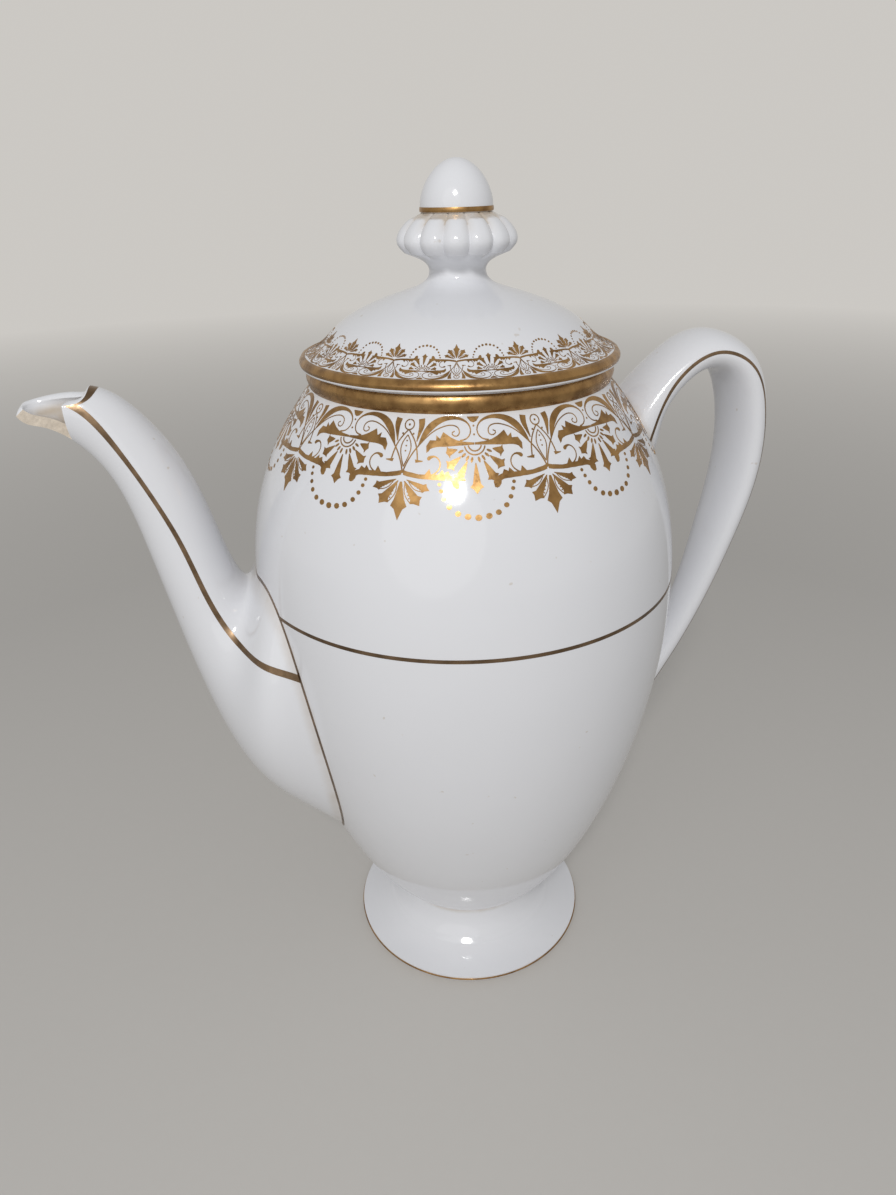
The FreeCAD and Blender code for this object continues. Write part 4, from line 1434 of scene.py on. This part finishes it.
class POT_OT_stage(bpy.types.Operator):
    """Floor that fades into the backdrop, two soft lamps and the camera"""

    bl_idname = "coffee_pot.stage"
    bl_label = "Set stage"

    def execute(self, context):
        scene = context.scene
        stage = settings("pot_stage")
        self.add_floor(stage)
        self.add_world(scene, stage)
        heading = math.radians(CAMERA_HEADING)
        self.add_lamp("key lamp", stage.key, heading, *KEY_LAMP)
        self.add_lamp("fill lamp", stage.fill, heading, *FILL_LAMP)
        self.add_camera(scene, heading)
        scene.view_settings.view_transform = "Standard"
        return {"FINISHED"}

    def add_floor(self, stage):
        """Round floor whose far part turns clear, so that the backdrop shows through it."""
        turn = np.linspace(0, 2 * np.pi, 97)
        radius = np.array(FLOOR_RINGS)[:, None]
        grid = np.stack([radius * np.cos(turn), radius * np.sin(turn), 0 * radius * turn], -1)
        points, faces = sheet(grid)
        mesh = bpy.data.meshes.new("floor")
        mesh.from_pydata(points.tolist(), [], faces.tolist())
        floor = bpy.data.objects.new("floor", mesh)
        bpy.context.scene.collection.objects.link(floor)
        material, tree, shader, place = new_material("pale floor")
        measure = add_node(tree, "ShaderNodeVectorMath", [("Vector", place)], operation="LENGTH")
        shader.inputs["Roughness"].default_value = 0.9
        shader.inputs["Specular IOR Level"].default_value = 0.0
        tree.links.new(ranged(tree, measure.outputs["Value"], *FLOOR_FADE, 1.0, 0.0), shader.inputs["Alpha"])
        grain = ranged(tree, noise(tree, place, 300.0), 0.3, 0.7, 0.0, 0.06)
        dark = tuple(channel * 0.9 for channel in stage.floor)
        tree.links.new(mixed(tree, grain, stage.floor, dark), shader.inputs["Base Color"])
        mesh.materials.append(material)

    def add_world(self, scene, stage):
        """Even light from all round; the backdrop's colour is what the camera, gloss and glass see."""
        world = bpy.data.worlds.new("studio")
        scene.world = world
        world.use_nodes = True
        tree = world.node_tree
        tree.nodes.clear()
        rays = add_node(tree, "ShaderNodeLightPath").outputs
        seen = add_node(tree, "ShaderNodeMath", [(0, rays["Is Camera Ray"]), (1, rays["Is Glossy Ray"])],
                        operation="MAXIMUM").outputs[0]
        shown = add_node(tree, "ShaderNodeMath", [(0, seen), (1, rays["Is Transmission Ray"])],
                         operation="MAXIMUM").outputs[0]
        light = add_node(tree, "ShaderNodeBackground", Color=(1, 1, 1, 1), Strength=stage.sky).outputs[0]
        backdrop = add_node(tree, "ShaderNodeBackground", Color=(*stage.backdrop, 1), Strength=1.0).outputs[0]
        both = add_node(tree, "ShaderNodeMixShader", [(0, shown), (1, light), (2, backdrop)]).outputs[0]
        add_node(tree, "ShaderNodeOutputWorld", [("Surface", both)])

    def add_lamp(self, name, power, camera_heading, size, swing, height, distance):
        """Round lamp on the camera's side of the pot, at a swing aside from it and a height angle, turned to
        the pot's belly."""
        heading = camera_heading + math.pi + swing
        lamp = bpy.data.lights.new(name, "AREA")
        lamp.energy = power
        lamp.size = size
        lamp.shape = "DISK"
        aim = Vector((0, 0, BELLY * MM))
        level = math.radians(height)
        flat = math.cos(level)
        way = Vector((math.sin(heading) * flat, math.cos(heading) * flat, math.sin(level)))
        holder = bpy.data.objects.new(name, lamp)
        holder.location = aim + distance * way
        holder.rotation_euler = way.to_track_quat("Z", "Y").to_euler()
        bpy.context.scene.collection.objects.link(holder)

    def add_camera(self, scene, heading):
        """Camera turned to its heading, tipped down by its dip and rolled about its own axis."""
        camera = bpy.data.cameras.new("camera")
        camera.sensor_fit = "VERTICAL"
        camera.sensor_height = SENSOR
        camera.lens = CAMERA_FOCUS * SENSOR / IMAGE_HEIGHT
        camera.clip_start = 0.01
        turn = (Matrix.Rotation(-heading, 4, "Z")
                @ Matrix.Rotation(math.radians(90 - CAMERA_DIP), 4, "X")
                @ Matrix.Rotation(math.radians(CAMERA_ROLL), 4, "Z"))
        holder = bpy.data.objects.new("camera", camera)
        holder.matrix_world = Matrix.Translation(Vector(CAMERA_PLACE) * MM) @ turn
        scene.collection.objects.link(holder)
        scene.camera = holder


STEPS = (POT_OT_vessel, POT_OT_foot, POT_OT_spout, POT_OT_handle, POT_OT_lid, POT_OT_finial,
         POT_OT_bands, POT_OT_lines, POT_OT_lace, POT_OT_stage)
GROUPS = {"pot_china": PotChina, "pot_gilding": PotGilding, "pot_finish": PotFinish, "pot_stage": PotStage}


class POT_PT_panel(bpy.types.Panel):
    """Sidebar panel with the pot's sizes, colours and steps"""

    bl_label = "Coffee pot"
    bl_idname = "POT_PT_panel"
    bl_space_type = "VIEW_3D"
    bl_region_type = "UI"
    bl_category = "Coffee pot"

    def draw(self, context):
        for group, kind in GROUPS.items():
            box = self.layout.box()
            for name in kind.__annotations__:
                box.prop(getattr(context.scene, group), name)
        for step in STEPS:
            self.layout.operator(step.bl_idname)


def register():
    for kind in (*GROUPS.values(), *STEPS, POT_PT_panel):
        bpy.utils.register_class(kind)
    for group, kind in GROUPS.items():
        setattr(bpy.types.Scene, group, PointerProperty(type=kind))


def unregister():
    for group in GROUPS:
        delattr(bpy.types.Scene, group)
    for kind in (POT_PT_panel, *reversed(STEPS), *GROUPS.values()):
        bpy.utils.unregister_class(kind)


def main():
    register()
    bpy.ops.coffee_pot.vessel()
    bpy.ops.coffee_pot.foot()
    bpy.ops.coffee_pot.spout()
    bpy.ops.coffee_pot.handle()
    bpy.ops.coffee_pot.lid()
    bpy.ops.coffee_pot.finial()
    bpy.ops.coffee_pot.bands()
    bpy.ops.coffee_pot.lines()
    bpy.ops.coffee_pot.lace()
    bpy.ops.coffee_pot.stage()


if __name__ == "__main__":
    main()
